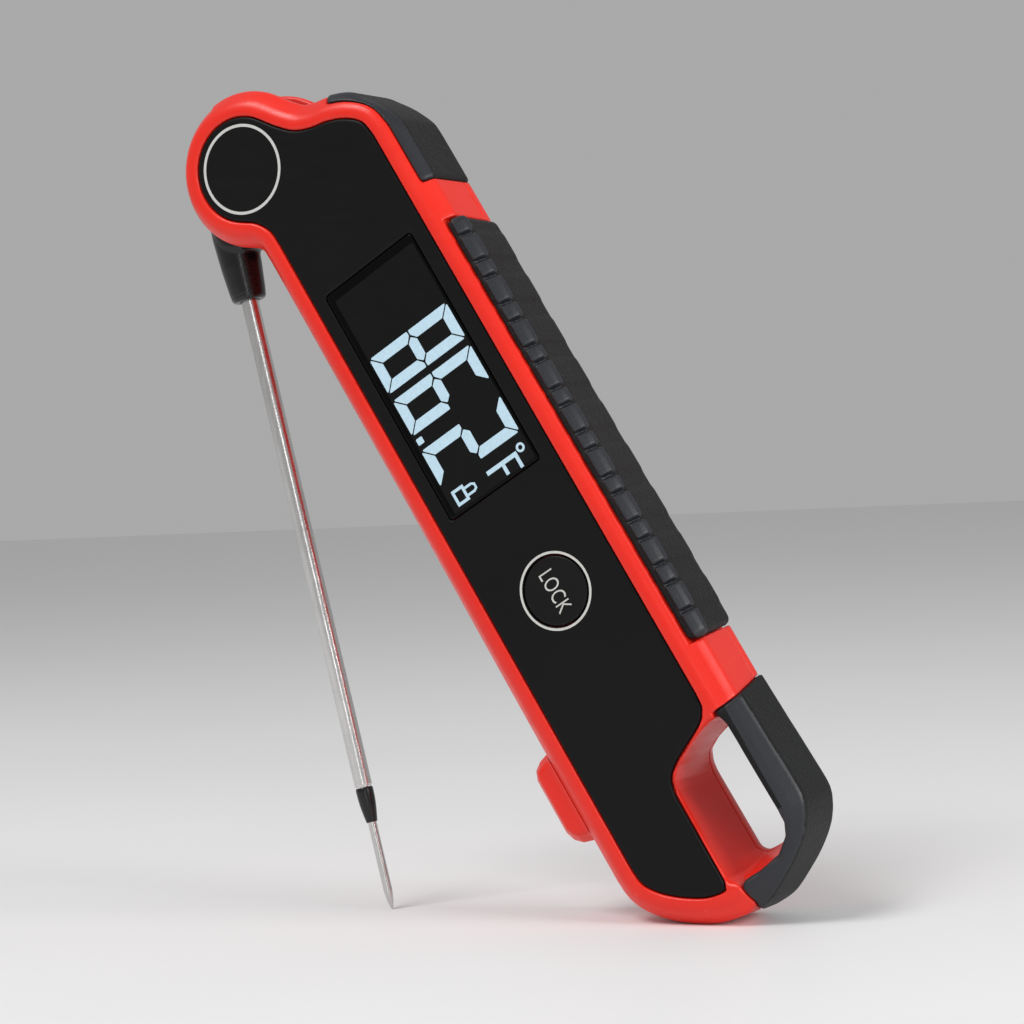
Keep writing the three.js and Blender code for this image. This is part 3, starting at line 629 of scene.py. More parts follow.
RUBBER = rubber("rubber_grip", (.0125, .0105, .0100), (.0080, .0068, .0066), (.030, .026, .026), 1300, .00016, spec=.2)
# smoother, glossier rubber for the bevels; its lighter, bluer base colour is a painted highlight standing in for the
# light the bevels catch
SATIN_RUBBER_PAINTED_LIT = rubber("rubber_satin_painted_lit", (.0165, .0178, .0225), (.0130, .0140, .0180), (.04, .043, .05), 2600, .00002, rough=(.36, .5), sheen=.06, spec=.42)
RUBBER_LOOP = rubber("rubber_loop", (.0085, .0088, .0090), (.0055, .0057, .0060), (.022, .022, .025), 1500, .00011, spec=.2)
STEEL = metal("stainless_drawn", (.66, .65, .64), (.20, .32), stretch=((1, 1, .015), tilt_rot(-(TILT - PROBE_ANGLE))), scale=2200)
STEEL_TIP = metal("stainless_ground", (.64, .63, .62), (.16, .28), stretch=((1, 1, .05), tilt_rot(-(TILT - PROBE_ANGLE))), scale=3000)
PLATED = metal("plated_steel", (.62, .61, .58), (.25, .42), stretch=((1, 1, 1), (0, 0, 0)), scale=700)
NICKEL = metal("magnet_nickel", (.66, .65, .62), (.12, .25), stretch=((1, 1, 1), (0, 0, 0)), scale=500)
BRASS = metal("bush_brass", (.75, .50, .22), (.2, .4), stretch=((1, .05, 1), (0, 0, 0)), scale=1200, tint=(.55, .33, .13))
BOARD = moulded("board_green", (.012, .085, .035), (.008, .06, .024), (.2, .3, .2), (.3, .5), grain=700, grain_h=.00003, coat=.3)
CHIP = moulded("chip_black", (.010, .010, .011), (.007, .007, .008), (.05, .05, .05), (.45, .6), grain=2400)
WHITE = moulded("diffuser_white", (.72, .72, .69), (.62, .62, .6), (.9, .9, .88), (.4, .6), grain=1200)
WRAP = moulded("battery_wrap", (.022, .024, .028), (.016, .017, .02), (.2, .2, .2), (.22, .35), grain=900, coat=.5)
LCD_M = moulded("lcd_dark", (.010, .0105, .011), (.008, .0083, .009), (.02, .02, .02), (.12, .2), grain=900, coat=.6)
REED = moulded("reed_glass", (.05, .09, .07), (.03, .06, .05), (.3, .3, .3), (.05, .1), grain=400, coat=1.0)


def window():
    m, nt, b = mat("window_dark")
    smear = noise(nt, 60, 5, .6, stretch=((1, 1, 2.2), (0, .6, 0)))
    dust = noise(nt, 2600, 2, .8)
    nt.links.new(blend_col(nt, ramp(nt, dust.outputs["Fac"], [(.72, 0.0), (.8, .3)]).outputs[0], (.0014, .0014, .0016), (.02, .02, .021)), b.inputs["Base Color"])
    nt.links.new(ramp(nt, smear.outputs["Fac"], [(.35, .12), (.7, .24)]).outputs[0], b.inputs["Roughness"])
    nt.links.new(bump(nt, smear.outputs["Fac"], .1, .00003).outputs[0], b.inputs["Normal"])
    b.inputs["Specular IOR Level"].default_value = .10
    return m


def ink(name, base, rough, glow=0.0, glow_col=None, spec=.4):
    """Printed ink or a lit segment, with a little unevenness."""
    m, nt, b = mat(name)
    n = noise(nt, 1400, 4, .7)
    col = blend_col(nt, ramp(nt, n.outputs["Fac"], [(.3, 0.0), (.7, 1.0)]).outputs[0], tuple(c * .86 for c in base), base)
    nt.links.new(col, b.inputs["Base Color"])
    nt.links.new(ramp(nt, n.outputs["Fac"], [(.3, rough), (.7, rough + .15)]).outputs[0], b.inputs["Roughness"])
    nt.links.new(bump(nt, n.outputs["Fac"], .2, .00001).outputs[0], b.inputs["Normal"])
    b.inputs["Specular IOR Level"].default_value = spec
    if glow:
        nt.links.new(blend_col(nt, ramp(nt, n.outputs["Fac"], [(.3, 0.0), (.7, 1.0)]).outputs[0], tuple(c * .9 for c in glow_col), glow_col), b.inputs["Emission Color"])
        b.inputs["Emission Strength"].default_value = glow
    return m


WINDOW = window()
SEG = ink("segment_lit", (.47, .62, .71), .45, .18, (.50, .80, 1.0))
INNER = ink("display_off", (.0050, .0051, .0054), .3, spec=.14)
RING_INK = ink("ink_silver", (.62, .62, .60), .32)
LOCK_INK = ink("ink_offwhite", (.66, .65, .61), .5)

# ------------------------------------------------------------------ moulded covers
FACE = -0.14                          # crest of the red rim, just proud of the panel
P_RED = ([[-40, FACE], [1.1, FACE], [1.8, -0.02], [2.4, 0.22], [2.95, 0.62], [3.6, 1.28], [4.3, 2.1], [4.68, 2.66], [4.83, 3.15], [4.85, 4.0]]
         + [[4.85, 15.0], [4.81, 15.55], [4.58, 16.1], [3.9, 16.9], [3.1, 17.66], [2.4, 18.12], [1.6, 18.36], [0.8, 18.4], [-40, 18.4]])
HOLE_F, HOLE_B = fillet(LOOP_FRONT, 1.4, 4), fillet(LOOP_BACK, 1.4, 4)
SLOT_IN, SLOT_OUT, SLOT_R = 4.6, 13.8, 14.2
CAP_ZONE = fillet([[7.7, -14], [40, -14], [40, 22.6], [8.3, 22.6], [8.3, 6]], 0)
TOP = lambda w: 30.4 + (w + 5) / 28.4
LOW = lambda w: 117.0 - 3.0 * (w + 5) / 28.4
LOOP_TOP = lambda w: 129.4 - 6.0 * (w + 5) / 28.4


def zones(g):
    """Distance fields of the three rubber areas seen on the outline, in 3-D."""
    Y, X, W = g.Y[:, :, None], g.X[:, :, None], g.W
    grip = np.maximum(np.maximum(TOP(W) - Y, Y - LOW(W)), 3.1 - X)
    cap = g.lift(g.poly(CAP_ZONE)) + 0 * W
    bar = np.maximum(np.minimum(g.lift(g.poly(BAR)) + 0 * W, under_foot(g)), LOOP_TOP(W) - Y)
    return cap, grip, bar


def under_foot(g):
    """The loop cover's lower seam: it leans towards the foot with depth, on the outer wall only."""
    return np.maximum(2.9 - 5.4 * np.clip((g.W - 2.5) / 13, 0, 1) - g.lift(g.X), 155.3 - g.lift(g.Y))


def hole_field(g):
    """The hanging loop: a scoop from the display face that narrows inwards, then opens again at the back."""
    a, b = g.lift(g.poly(HOLE_F)), g.lift(g.poly(HOLE_B))
    t = smin(np.clip(g.W / LOOP_DEEP, 0, 2) ** 1.7, 1 + 0 * g.W, .2)
    out = 1.7 * np.clip((g.W - 13.4) / 5.0, 0, 1.3) ** 2
    lead = np.clip(.7 - g.W, 0, 1.6) * .18
    return a * (1 - t) + b * t - out - lead


def slot_field(g):
    d = np.hypot(g.X - PIVOT_U, g.Y) - SLOT_R
    two = np.minimum(d, np.minimum(np.maximum(g.X - 2.9, g.Y), np.maximum(g.X + 18.35, np.maximum(-1 - g.Y, g.Y - 15))))
    return np.maximum(g.lift(two), g.slab(SLOT_IN, SLOT_OUT))


def red_body(g):
    s3 = g.lift(g.skin())
    F = g.profile(P_RED)
    cap, grip, bar = zones(g)
    edge = 3.04 - s3
    F = smax(F, -np.maximum(cap - .08, edge), .16)
    F = smax(F, -np.maximum(grip - .12, edge), .16)
    F = np.maximum(F, -(bar - .12))
    core = smax(g.lift(g.poly(LOOP_CORE)), g.slab(4.0, 14.4), .8)
    F = np.minimum(F, core)
    F = smax(F, -hole_field(g), 1.1)
    return F


def front_shell():
    g = Grid(.34, (-27.4, -15.2, -.9), (21.5, 162.5, 14.0))
    F = red_body(g)
    recess = np.maximum(g.lift(g.poly(PANEL)) - .12, g.W - 1.3)
    F = smax(F, -recess, .45)
    F = smax(F, -slot_field(g), .7)
    F = smax(F, -smax(g.lift(g.poly(CAVITY)), g.slab(FLOOR_IN, FLOOR_OUT), .5), .4)
    under = np.maximum(g.lift(np.maximum(g.poly(CAVITY), g.poly(PANEL)) + 1.1), g.W - FLOOR_IN - .3)
    F = np.maximum(F, -under)
    F = smax(F, g.W - (PART - .02) + 0 * F, .08)
    return carved("front_shell_skin", g, F, RED, replaces=["front_shell"], most=185000)


FLOOR_IN, FLOOR_OUT = 2.8, 15.9


def front_floor():
    g = Grid(.6, (-19, 2, .6), (16, 154, 6))
    F = np.maximum(g.lift(np.maximum(g.poly(CAVITY), g.poly(PANEL))) + .75, g.slab(1.32, 2.8))
    F = smax(F, -g.prism(rrect(-9.5, 30.2, 9.9, 74.6, .6), 0, 4), .2)
    F = smax(F, -g.disc(*BUTTON, 6.7, 0, 1.95), .2)
    F = smax(F, -g.disc(*BUTTON, 3.0, 0, 4), .2)
    return carved("front_floor_plate", g, F, RED, replaces=["front_shell"], most=60000)


def rear_shell():
    g = Grid(.4, (-27.4, -15.2, 13.0), (21.5, 162.5, 19.2))
    F = red_body(g)
    F = smax(F, -slot_field(g), .5)
    F = smax(F, -smax(g.lift(g.poly(CAVITY)), g.slab(0, FLOOR_OUT), .6), .4)
    for u, v in SCREWS:
        F = np.minimum(F, g.disc(u, v, 2.9, PART + .1, 16.4))
    u0, v0, u1, v1 = DOOR
    F = smax(F, -g.prism(rrect(u0 - .14, v0 - .14, u1 + .14, v1 + .14, 2.1), 16.3, 30), .35)
    F = smax(F, -g.prism(rrect(-11.8, 100.8, -.8, 146.2, .8), 10, 30), .3)
    F = smax(F, -g.disc(*DOOR_SCREW, 1.8, 5, 20), .3)
    F = smax(F, -g.disc(PIVOT_U, 0, 5.12, 17.3, 30), .4)
    F = smax(F, -g.disc(PIVOT_U, 0, 3.9, 15.7, 30), .2)
    F = smax(F, -g.disc(PIVOT_U, 0, 2.3, 10, 30), .2)
    for u, v in SCREWS:
        F = smax(F, -g.disc(u, v, 2.3, 15.0, 30), .5)
        F = smax(F, -g.disc(u, v, 1.4, 5, 30), .2)
    # a shallow label field left blank
    lab = g.prism(rrect(-9.5, 28, 9.5, 84, 3), 18.12, 30)
    F = smax(F, -lab, .3)
    F = smax(F, -(g.W - (PART + .02)) + 0 * F, .08)
    return carved("rear_shell_skin", g, F, RED, replaces=["rear_shell"], most=185000)


def panel():
    g = Grid(.34, (-24, -11.5, -.6), (16, 156, 1.9))
    F = smax(g.lift(g.poly(PANEL)) + .02, g.slab(.03, 1.2), .42)
    F = smax(F, -g.prism(rrect(-10.56, 28.74, 10.12, 75.56, .75), -2, 3), .3)
    F = smax(F, -g.disc(*BUTTON, BUTTON_R + .14, -2, 3), .35)
    return carved("panel_face", g, F, PANEL_M, replaces=["front_panel"], most=70000)


def window_plate():
    g = Grid(.25, (-11.5, 27.8, -.5), (11.1, 76.5, 1.8))
    F = smax(g.lift(g.poly(rrect(-10.46, 28.84, 10.02, 75.46, .65))), g.slab(.06, 1.2), .3)
    return carved("display_window", g, F, WINDOW, replaces=["lcd_window"], most=16000)


def button():
    g = Grid(.16, (-6.9, 88.9, -.6), (7.5, 103.3, 3.9))
    r = np.hypot(g.X - BUTTON[0], g.Y - BUTTON[1])
    dish = 0.10 * (1 - np.clip(r / 5.2, 0, 1) ** 2)
    F = smax(g.lift(r - BUTTON_R), np.maximum(.02 + g.lift(dish) - g.W, g.W - 1.1), .45)
    F = smin(F, g.disc(*BUTTON, 1.8, .9, 3.3), .3)
    return carved("lock_key", g, F, BUTTON_M, body="button", replaces=["lock_button"], most=60000)


# ------------------------------------------------------------------ rubber
P_CAP = [[3.14, 1.25], [3.24, .86], [3.45, .80], [4.05, 1.36], [4.62, 2.05], [4.98, 2.75], [5.1, 3.5], [5.1, 15.1], [5.05, 15.6], [4.75, 16.15], [3.9, 17.0], [3.4, 17.4], [3.22, 17.36], [3.14, 17.0]]


def grip_cap():
    g = Grid(.3, (5.5, -9, -.5), (21, 25, 19))
    cap, _, _ = zones(g)
    F = smax(g.profile(P_CAP), cap + .05, .7)
    # the cap's front bevel faces take the satin rubber, whose lighter base colour is a painted highlight
    return carved("grip_cap_skin", g, F, RUBBER, replaces=["grip_cap"], most=90000, second=(SATIN_RUBBER_PAINTED_LIT, lambda p: p[:, 2] < 3.0))


NOTCHES = [34.6, 40.0, 43.4, 48.9, 52.5, 57.8, 61.0, 66.5, 69.9, 75.4, 78.8, 84.4, 87.7, 93.3, 96.9, 102.0, 105.7, 111.0]
P_GRIP = [[3.14, 1.45], [3.3, 1.44], [3.78, 1.56], [4.2, 1.9], [4.85, 2.5], [5.25, 3.1], [5.35, 3.7], [5.35, 15.1], [5.3, 15.6], [4.95, 16.15], [4.0, 17.0], [3.4, 17.4], [3.22, 17.36], [3.14, 17.0]]


def on_pads(u, v):
    """Distance outside the body's outline, as the grip's section sees it."""
    d = poly_sdf(BODY, u, v)
    return d - .5 * ease((v - 50) / 60) * ease((d - RIM + .4) / (WALL - RIM))


def grip():
    g = Grid(.23, (14, 28.5, -.2), (22.3, 119, 18.6))
    _, zone, _ = zones(g)
    s3, W = g.lift(g.skin()), g.W
    F = g.profile(P_GRIP)
    # the line of notches leans with depth, as the ends do
    yy = g.y[:, None] + (g.z[None, :] - 2) * 0.03
    ends = [30.6] + NOTCHES + [116.6]
    h = np.full(yy.shape, -.22, np.float32)
    wide = np.zeros(yy.shape, np.float32)
    for i, (a, b) in enumerate(zip(ends[:-1], ends[1:])):
        half, mid = (b - a) / 2 - .24, (a + b) / 2
        x = np.abs(yy - mid)
        long = i % 2 == 1
        d = x - half
        crown = .07 * (1 - np.clip(x / half, 0, 1) ** 2)
        top = (.78 if long else .72) + crown
        edge = np.clip(-d / .42, 0, 1)
        h = np.where(d < 0, np.maximum(h, -.22 + (top + .22) * np.sqrt(np.clip(1 - (1 - edge) ** 2, 0, 1))), h)
        if long:
            wide = np.maximum(wide, 1 - ease((x - half + .6) / 1.4))
    h, wide = h[None], wide[None]
    pads = ease((s3 - 3.86) / .4) * (1 - ease((W - 3.55) / .8))        # on the bevel
    side = ease((W - 3.2) / 1.2) * (1 - ease((W - 14.6) / 2.2)) * ease((s3 - 4.3) / .6)
    F = F - h * pads - (.26 + .24 * wide) * side
    F = F + .1 * (1 - ease((np.abs(W - 4.35)) / .5)) * ease((s3 - 4.6) / .4)     # crease under the pads
    F = smax(F, zone + .04, 1.6)
    # the pads on the bevel take the satin rubber, whose lighter base colour is a painted highlight
    return carved("grip_ribbed_skin", g, F, RUBBER, replaces=["grip_ribbed"], most=190000, second=(SATIN_RUBBER_PAINTED_LIT, lambda p: (p[:, 2] < 3.75) & (on_pads(p[:, 0], p[:, 1]) > 3.86)))


P_LOOP = [[-40, .02], [.8, .04], [2.0, .26], [2.95, .72], [3.8, 1.35], [4.7, 2.1], [5.4, 2.68], [5.75, 3.15], [5.85, 3.9], [5.85, 15.05], [5.8, 15.6], [5.5, 16.15], [4.4, 17.05], [3.2, 17.75], [2.3, 18.2], [1.4, 18.36], [-40, 18.4]]


def loop_cover():
    g = Grid(.28, (-4.0, 120, -.7), (22.5, 163.5, 19.2))
    g.s = smax(g.skin(), g.X - 19.12 - .031 * (g.Y - 124.4) + 5.85, .6)      # the long side runs straight to the corner
    s3 = g.lift(g.s)
    inset = 1.0 * (1 - ease((g.X + 2.5) / 8)) * (g.Y > 150)
    F = g.profile(P_LOOP) + g.lift(inset) * ease((s3 - 3.0) / 1.8)
    bar = smax(np.minimum(g.lift(g.poly(BAR)) + 0 * g.W, under_foot(g)) + .06, LOOP_TOP(g.W) - g.lift(g.Y) + .06, .8)
    F = smax(F, bar, .5)
    F = smax(F, -hole_field(g), 1.7)
    core = np.maximum(g.lift(g.poly(LOOP_CORE)) - .12, g.slab(3.88, 14.52))
    F = np.maximum(F, -core)
    # the bevel faces take the satin rubber, whose lighter base colour is a painted highlight; the front strip by the
    # hole keeps the darker loop rubber
    return carved("loop_cover_skin", g, F, RUBBER_LOOP, replaces=["loop_cover"], most=150000, second=(SATIN_RUBBER_PAINTED_LIT, lambda p: (p[:, 2] < 3.2) & ((p[:, 1] > 147.6) | (p[:, 0] > 16.3))))


def tip_guard():
    g = Grid(.24, (-25, 114, 2.4), (-16.6, 138.5, 16))
    ear = [[-16.0, 116.9], [-18.6, 117.5], [-21.4, 118.2], [-23.0, 119.2], [-23.7, 120.8], [-23.7, 131.2], [-23.0, 133.0], [-21.7, 134.2], [-18.8, 135.1], [-16.0, 135.6]]
    lean = np.maximum(np.abs(g.W - MID) - 2.8, 0) * .62
    F = smax(g.lift(g.poly(fillet(ear, .45, 4))) + lean, g.slab(3.6, 14.8), .7)
    body = g.lift(g.skin()) - WALL + 0 * g.W
    F = smin(F, body, 1.3)
    F = np.maximum(F, -(body - .02))
    slot = np.maximum(np.abs(g.W - MID) - 1.35, g.lift(g.X) + 21.2)
    F = smax(F, -(slot + 0 * F), .6)
    F = np.maximum(F, np.maximum(115.2 - g.lift(g.Y), g.lift(g.Y) - 137.2) + 0 * F)
    return carved("tip_guard_ears", g, F, RED, replaces=["tip_guard"], most=120000)


# ------------------------------------------------------------------ rear fittings
def battery_door():
    g = Grid(.25, (-13.4, 90.5, 16.3), (.8, 148.6, 19.1))
    u0, v0, u1, v1 = DOOR
    F = smax(g.lift(g.poly(rrect(u0, v0, u1, v1, 2.0))), g.slab(16.95, 18.4), .45)
    F = smax(F, -g.disc(*DOOR_SCREW, 3.9, 17.4, 30), .35)
    F = smax(F, -g.disc(*DOOR_SCREW, 1.8, 5, 30), .2)
    F = smax(F, -g.disc(*SCREWS[3], 2.5, 5, 30), .4)          # scalloped round the neighbouring case screw
    for k in range(6):
        v = 134.6 + 2.0 * k
        F = smax(F, -g.prism(rrect(u0 + 2.6, v, u1 - 2.6, v + .9, .44), 18.08, 30), .3)
    return carved("door_plate", g, F, RED, body="door", replaces=["battery_door"], most=60000)


def door_screw():
    g = Grid(.16, (-10.4, 91.4, 10.9), (-2.2, 99.8, 18.9))
    F = smax(g.disc(*DOOR_SCREW, 3.6, 17.6, 18.35), g.W * 0 - 1, .01)
    F = smax(g.lift(np.hypot(g.X - DOOR_SCREW[0], g.Y - DOOR_SCREW[1]) - 3.6), g.slab(17.6, 18.35), .3)
    F = smin(F, g.disc(*DOOR_SCREW, 1.45, 11.2, 17.7, .4), .2)
    F = smax(F, -g.prism(rrect(DOOR_SCREW[0] - 2.6, DOOR_SCREW[1] - .45, DOOR_SCREW[0] + 2.6, DOOR_SCREW[1] + .45, .2), 17.9, 30), .12)
    return carved("door_coin_screw", g, F, PLATED, body="door_lock", replaces=["door_screw"], most=60000)


def pivot_cap():
    g = Grid(.18, (-18, -5.8, 16.9), (-6.6, 5.8, 19))
    r = np.hypot(g.X - PIVOT_U, g.Y)
    F = smax(g.lift(r - 5.0), np.maximum(17.45 - g.W, g.W - 18.4 + .0 * g.lift(r)), .45)
    F = smax(F, -np.maximum(np.abs(g.lift(r) - 3.4) - .22, 18.14 - g.W), .2)
    return carved("pivot_plug", g, F, RED, replaces=["pivot_cap"], most=40000)


# ------------------------------------------------------------------ probe
HUB = (arc(0, 0, 13.1, -100, 100, 48)
       + smooth([[-2.3, 12.9], [-4.4, 12.6], [-6.3, 12.5], [-8.2, 12.2], [-10.6, 10.6], [-12.1, 7.4], [-12.9, 3.4], [-13.1, 0.0], [-12.5, -4.0], [-10.5, -8.0], [-6.9, -11.2], [-2.3, -12.9]], 48)[1:-1])


def hub():
    g = Grid(.26, (-15.6, -14.4, 3.6), (14.2, 22.6, 14.8))
    F = smax(g.lift(g.poly(HUB)) + .04, g.slab(5.3, 13.1), .9)
    r = np.interp(g.y, [3, 4, 9, 15, 19, 20.6, 21.4], [3.85, 3.9, 4.1, 3.78, 3.4, 3.22, 2.95]).astype(np.float32)[None, :, None]
    rad3 = np.sqrt((g.lift(g.X) + 10.2) ** 2 + (g.W - MID) ** 2)
    cone = smax(rad3 - r, np.maximum(4 - g.lift(g.Y), g.lift(g.Y) - 21.4), .6)
    cone = cone + .05 * np.exp(-((g.lift(g.Y) - 20.4) / .16) ** 2)      # faint line at the moulded collar
    F = smin(F, cone, 1.1)
    F = smax(F, -g.disc(0, 0, 3.3, 0, 30), .3)
    F = smax(F, -(np.maximum(rad3 - 1.72, 13.0 - g.lift(g.Y))), .4)
    return carved("probe_hub_skin", g, F, HUB_M, body="probe", replaces=["probe_hub"], probe=True, most=120000)


def needle_parts():
    lathe("probe_tube_drawn", [(1.15, 13.4), (1.6, 13.4), (1.6, 111.9), (1.56, 112.2), (1.46, 112.4), (1.15, 112.4)],
          STEEL, "probe", ["probe_tube"], closed=True, n=72)
    lathe("tip_ferrule_black", [(.95, 112.5), (1.42, 112.5), (1.58, 112.75), (1.6, 113.3), (1.57, 114.4), (1.5, 115.5), (1.36, 116.7), (1.17, 117.9), (1.06, 118.6), (1.0, 118.9), (.95, 118.9)],
          HUB_M, "probe", ["tip_ferrule"], closed=True, n=56, sharp=50)
    lathe("tip_needle_ground", [(0, 108), (.79, 108), (.79, 131.4), (.76, 131.9), (.62, 132.9), (.46, 133.8), (.28, 134.45), (.14, 134.8), (0, 134.9)],
          STEEL_TIP, "probe", ["tip_needle"], n=48, sharp=60)


for make in (front_shell, front_floor, rear_shell, panel, window_plate, button, grip_cap, grip, loop_cover, tip_guard,
             battery_door, door_screw, pivot_cap, hub, needle_parts):
    make()


# ------------------------------------------------------------------ printed marks and display
def print_flat(name, polys, w0, w1, material, body="handset", rings=()):
    """Thin raised shapes on the panel: each outline, or (centre, inner radius, outer radius) ring, as a closed sliver."""
    bm = bmesh.new()
    for poly in polys:
        area = sum(a[0] * b[1] - b[0] * a[1] for a, b in zip(poly, poly[1:] + poly[:1]))
        if area < 0:
            poly = poly[::-1]
        lo = [bm.verts.new(tuple(place_h([[u, v, w0]])[0])) for u, v in poly]
        hi = [bm.verts.new(tuple(place_h([[u, v, w1]])[0])) for u, v in poly]
        bm.faces.new(lo)
        bm.faces.new(hi[::-1])
        for i in range(len(lo)):
            j = (i + 1) % len(lo)
            bm.faces.new((lo[i], lo[j], hi[j], hi[i]))
    for (cu, cv), r0, r1 in rings:
        n = 128
        q = []
        for r, w in ((r0, w1), (r0, w0), (r1, w0), (r1, w1)):
            q.append([bm.verts.new(tuple(place_h([[cu + r * math.cos(2 * math.pi * k / n), cv + r * math.sin(2 * math.pi * k / n), w]])[0])) for k in range(n)])
        for a in range(4):
            A, B = q[a], q[(a + 1) % 4]
            for k in range(n):
                k2 = (k + 1) % n
                bm.faces.new((A[k], A[k2], B[k2], B[k]))
    bmesh.ops.recalc_face_normals(bm, faces=bm.faces)
    bmesh.ops.triangulate(bm, faces=[f for f in bm.faces if len(f.verts) > 4])
    me = bpy.data.meshes.new(name)
    bm.to_mesh(me)
    bm.free()
    ob = bpy.data.objects.new(name, me)
    bpy.context.scene.collection.objects.link(ob)
    me.materials.append(material)
    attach(ob, body)
    return ob


U0, U1, T = -8.9, 9.4, 1.95           # digit foot, digit top, stroke width


def digit(v0, v1, on):
    """Seven-segment digit between v0 and v1, its top towards +u."""
    H, Wd, g, t = U1 - U0, v1 - v0, .17, T
    m, k = H / 2, t / 2
    seg = {
        "a": [(g, H), (Wd - g, H), (Wd - t - g, H - t), (t + g, H - t)],
        "d": [(g, 0), (Wd - g, 0), (Wd - t - g, t), (t + g, t)],
        "g": [(t * .55 + g, m), (t + g, m + k), (Wd - t - g, m + k), (Wd - t * .55 - g, m), (Wd - t - g, m - k), (t + g, m - k)],
        "f": [(0, H - g), (0, m + g), (t * .45, m + g), (t, m + k + g), (t, H - t - g)],
        "e": [(0, g), (0, m - g), (t * .45, m - g), (t, m - k - g), (t, t + g)],
        "b": [(Wd, H - g), (Wd, m + g), (Wd - t * .45, m + g), (Wd - t, m + k + g), (Wd - t, H - t - g)],
        "c": [(Wd, g), (Wd, m - g), (Wd - t * .45, m - g), (Wd - t, m - k - g), (Wd - t, t + g)],
    }
    return [fillet([[U0 + b, v0 + a] for a, b in seg[s]], .22, 3) for s in on]


print_flat("display_inner", [fillet([[-9.1, 30.6], [9.55, 30.6], [9.55, 74.9], [-9.1, 74.9]], .4)], .03, .08, INNER)
shapes = digit(43.0, 50.3, "abcdefg") + digit(51.7, 59.0, "acdefg") + digit(62.1, 69.5, "abged")
shapes.append(fillet([[-8.7, 59.85], [-7.35, 59.85], [-7.35, 61.1], [-8.7, 61.1]], .25))
shapes += [[[0.0, 71.95], [6.85, 71.95], [6.85, 72.75], [0.0, 72.75]], [[6.15, 72.75], [6.85, 72.75], [6.85, 75.0], [6.15, 75.0]], [[3.15, 72.75], [3.85, 72.75], [3.85, 74.6], [3.15, 74.6]]]
shapes += [[[-7.8, 71.2], [-5.1, 71.2], [-5.1, 71.75], [-7.8, 71.75]], [[-7.8, 73.65], [-5.1, 73.65], [-5.1, 74.2], [-7.8, 74.2]],
           [[-7.8, 71.75], [-7.25, 71.75], [-7.25, 73.65], [-7.8, 73.65]], [[-5.65, 71.75], [-5.1, 71.75], [-5.1, 73.65], [-5.65, 73.65]],
           [[-5.1, 71.8], [-3.6, 71.8], [-3.6, 72.25], [-5.1, 72.25]], [[-5.1, 73.2], [-3.6, 73.2], [-3.6, 73.65], [-5.1, 73.65]],
           [[-3.6, 71.8], [-2.85, 72.2], [-2.85, 73.25], [-3.6, 73.65], [-3.6, 73.2], [-3.25, 72.95], [-3.25, 72.5], [-3.6, 72.25]]]
print_flat("display_segments", shapes, .005, .05, SEG, rings=[((7.95, 71.9), .42, .85)])
print_flat("pivot_ring_print", [], -.004, .05, RING_INK, rings=[((PIVOT_U, 0), 7.6, 8.12)])
print_flat("lock_ring_print", [], -.004, .05, LOCK_INK, rings=[((0.29, 96.1), 6.42, 6.84)])

txt = bpy.data.curves.new("lock_word", "FONT")
txt.body = "LOCK"
txt.size = 1.0
txt.extrude = 0.02
txt.space_character = 1.05
txt.offset = -0.006
tob = bpy.data.objects.new("lock_word_src", txt)
bpy.context.scene.collection.objects.link(tob)
bpy.context.view_layer.update()
tme = bpy.data.meshes.new_from_object(tob.evaluated_get(bpy.context.evaluated_depsgraph_get()))
bpy.data.objects.remove(tob)
co = np.array([v.co[:] for v in tme.vertices])
lo, hi = co.min(0), co.max(0)
v = 92.35 + (co[:, 0] - lo[0]) / (hi[0] - lo[0]) * 7.6
u = -1.2 + (co[:, 1] - lo[1]) / (hi[1] - lo[1]) * 2.9
r = np.hypot(u - BUTTON[0], v - BUTTON[1])
w = .10 * (1 - np.clip(r / 5.2, 0, 1) ** 2) + np.where(co[:, 2] > (lo[2] + hi[2]) / 2, -.008, .06)
for vert, p in zip(tme.vertices, place_h(np.stack([u, v, w], 1))):
    vert.co = p
bm = bmesh.new()
bm.from_mesh(tme)
bmesh.ops.recalc_face_normals(bm, faces=bm.faces)
bm.to_mesh(tme)
bm.free()
word = bpy.data.objects.new("lock_word_print", tme)
bpy.context.scene.collection.objects.link(word)
tme.materials.clear()
tme.materials.append(LOCK_INK)
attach(word, "button")

# ------------------------------------------------------------------ carried-over nodes
KEEP = {"lcd_panel": LCD_M, "backlight": WHITE, "zebra_strip_upper": SIL, "zebra_strip_lower": SIL, "main_board": BOARD, "processor_chip": CHIP,
        "tact_switch": CHIP, "buzzer": CHIP, "reed_switch": REED, "battery": WRAP, "contact_plate": PLATED, "contact_spring": PLATED,
        "case_gasket": SIL, "magnet_upper": NICKEL, "magnet_lower": NICKEL, "case_screw_1": PLATED, "case_screw_2": PLATED, "case_screw_3": PLATED,
        "case_screw_4": PLATED, "probe_lead": SIL, "hinge_pin": PLATED, "thrust_washer": PLATED, "friction_washer": PLATED, "door_gasket": SIL,
        "hinge_bush": BRASS, "hub_magnet": NICKEL, "boot_seal": SIL, "thermocouple_wire": BRASS}
for name, m in KEEP.items():
    ob = frame["nodes"][name]
    if not ob.material_slots:
        ob.data.materials.append(m)
    for sl in ob.material_slots:
        sl.material = m
    if name not in ("contact_spring", "probe_lead", "thermocouple_wire"):
        b = ob.modifiers.new("edge", "BEVEL")
        b.width, b.segments, b.limit_method, b.angle_limit = .00012, 2, "ANGLE", rad(40)

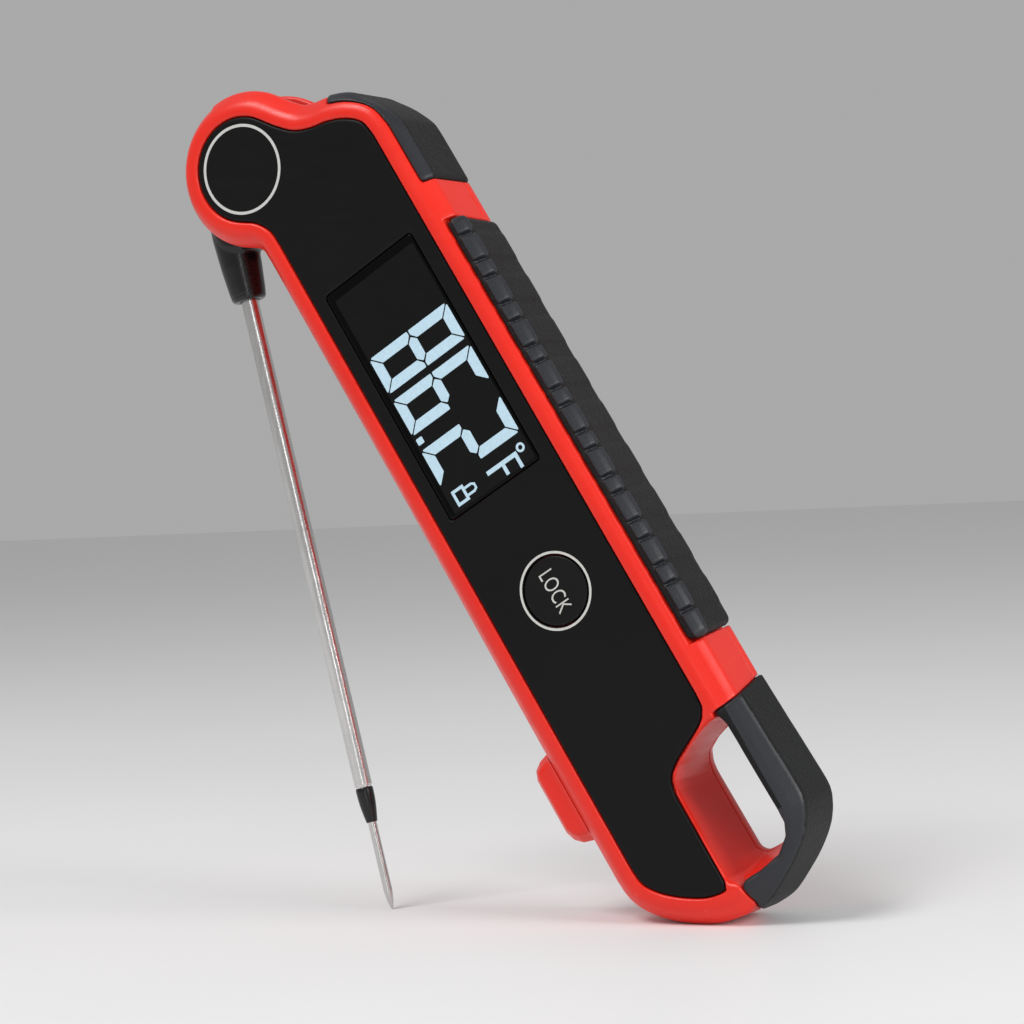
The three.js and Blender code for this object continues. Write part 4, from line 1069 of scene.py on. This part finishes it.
# ------------------------------------------------------------------ stage, light and camera
fm, nt, b = mat("floor_pale")
n = noise(nt, 6, 3)
nt.links.new(blend_col(nt, n.outputs["Fac"], (.86, .86, .865), (.88, .88, .885)), b.inputs["Base Color"])
nt.links.new(ramp(nt, n.outputs["Fac"], [(.3, .5), (.7, .6)]).outputs[0], b.inputs["Roughness"])
me = bpy.data.meshes.new("floor")
S = 3.0
rows = [(-S, 0), (S, 0)]
me.from_pydata([(-S, -S, 0), (S, -S, 0), (S, S, 0), (-S, S, 0)], [], [(0, 1, 2, 3)])
floor = bpy.data.objects.new("floor", me)
bpy.context.scene.collection.objects.link(floor)
me.materials.append(fm)

world = bpy.data.worlds.new("studio")
bpy.context.scene.world = world
world.use_nodes = True
bg = world.node_tree.nodes["Background"]
bg.inputs[0].default_value = (1, 1, 1, 1)
bg.inputs[1].default_value = .40


def area(name, loc, target, size, power, col=(1, 1, 1), size_y=None):
    d = bpy.data.lights.new(name, "AREA")
    d.energy, d.size, d.color = power, size, col
    if size_y:
        d.shape, d.size_y = "RECTANGLE", size_y
    o = bpy.data.objects.new(name, d)
    bpy.context.scene.collection.objects.link(o)
    o.location = loc
    o.rotation_euler = (Vector(target) - Vector(loc)).to_track_quat("-Z", "Y").to_euler()
    return o


MIDP = (0, 0, .075)
area("key", (-.30, -.55, .95), MIDP, .45, 6.2)
area("side", (1.0, -.10, .45), MIDP, .5, 6)
area("strip", (.45, -.85, .10), MIDP, .12, .9, size_y=.7)
bpy.context.scene.view_settings.view_transform = "Standard"

cam_d = bpy.data.cameras.new("camera")
cam_d.lens, cam_d.sensor_width = 105.47, 36
cam = bpy.data.objects.new("camera", cam_d)
bpy.context.scene.collection.objects.link(cam)
right, up, back = (.88638, .4602, -.05042), (.03669, .03874, .99858), (.4615, -.88697, .01745)
loc = P0 + Vector((.28894, -.45720, -.05441))
cam.matrix_world = Matrix([[right[i], up[i], back[i], loc[i]] for i in range(3)] + [[0, 0, 0, 1]])
cam_d.clip_start, cam_d.clip_end = .01, 20
bpy.context.scene.camera = cam

bpy.context.view_layer.update()
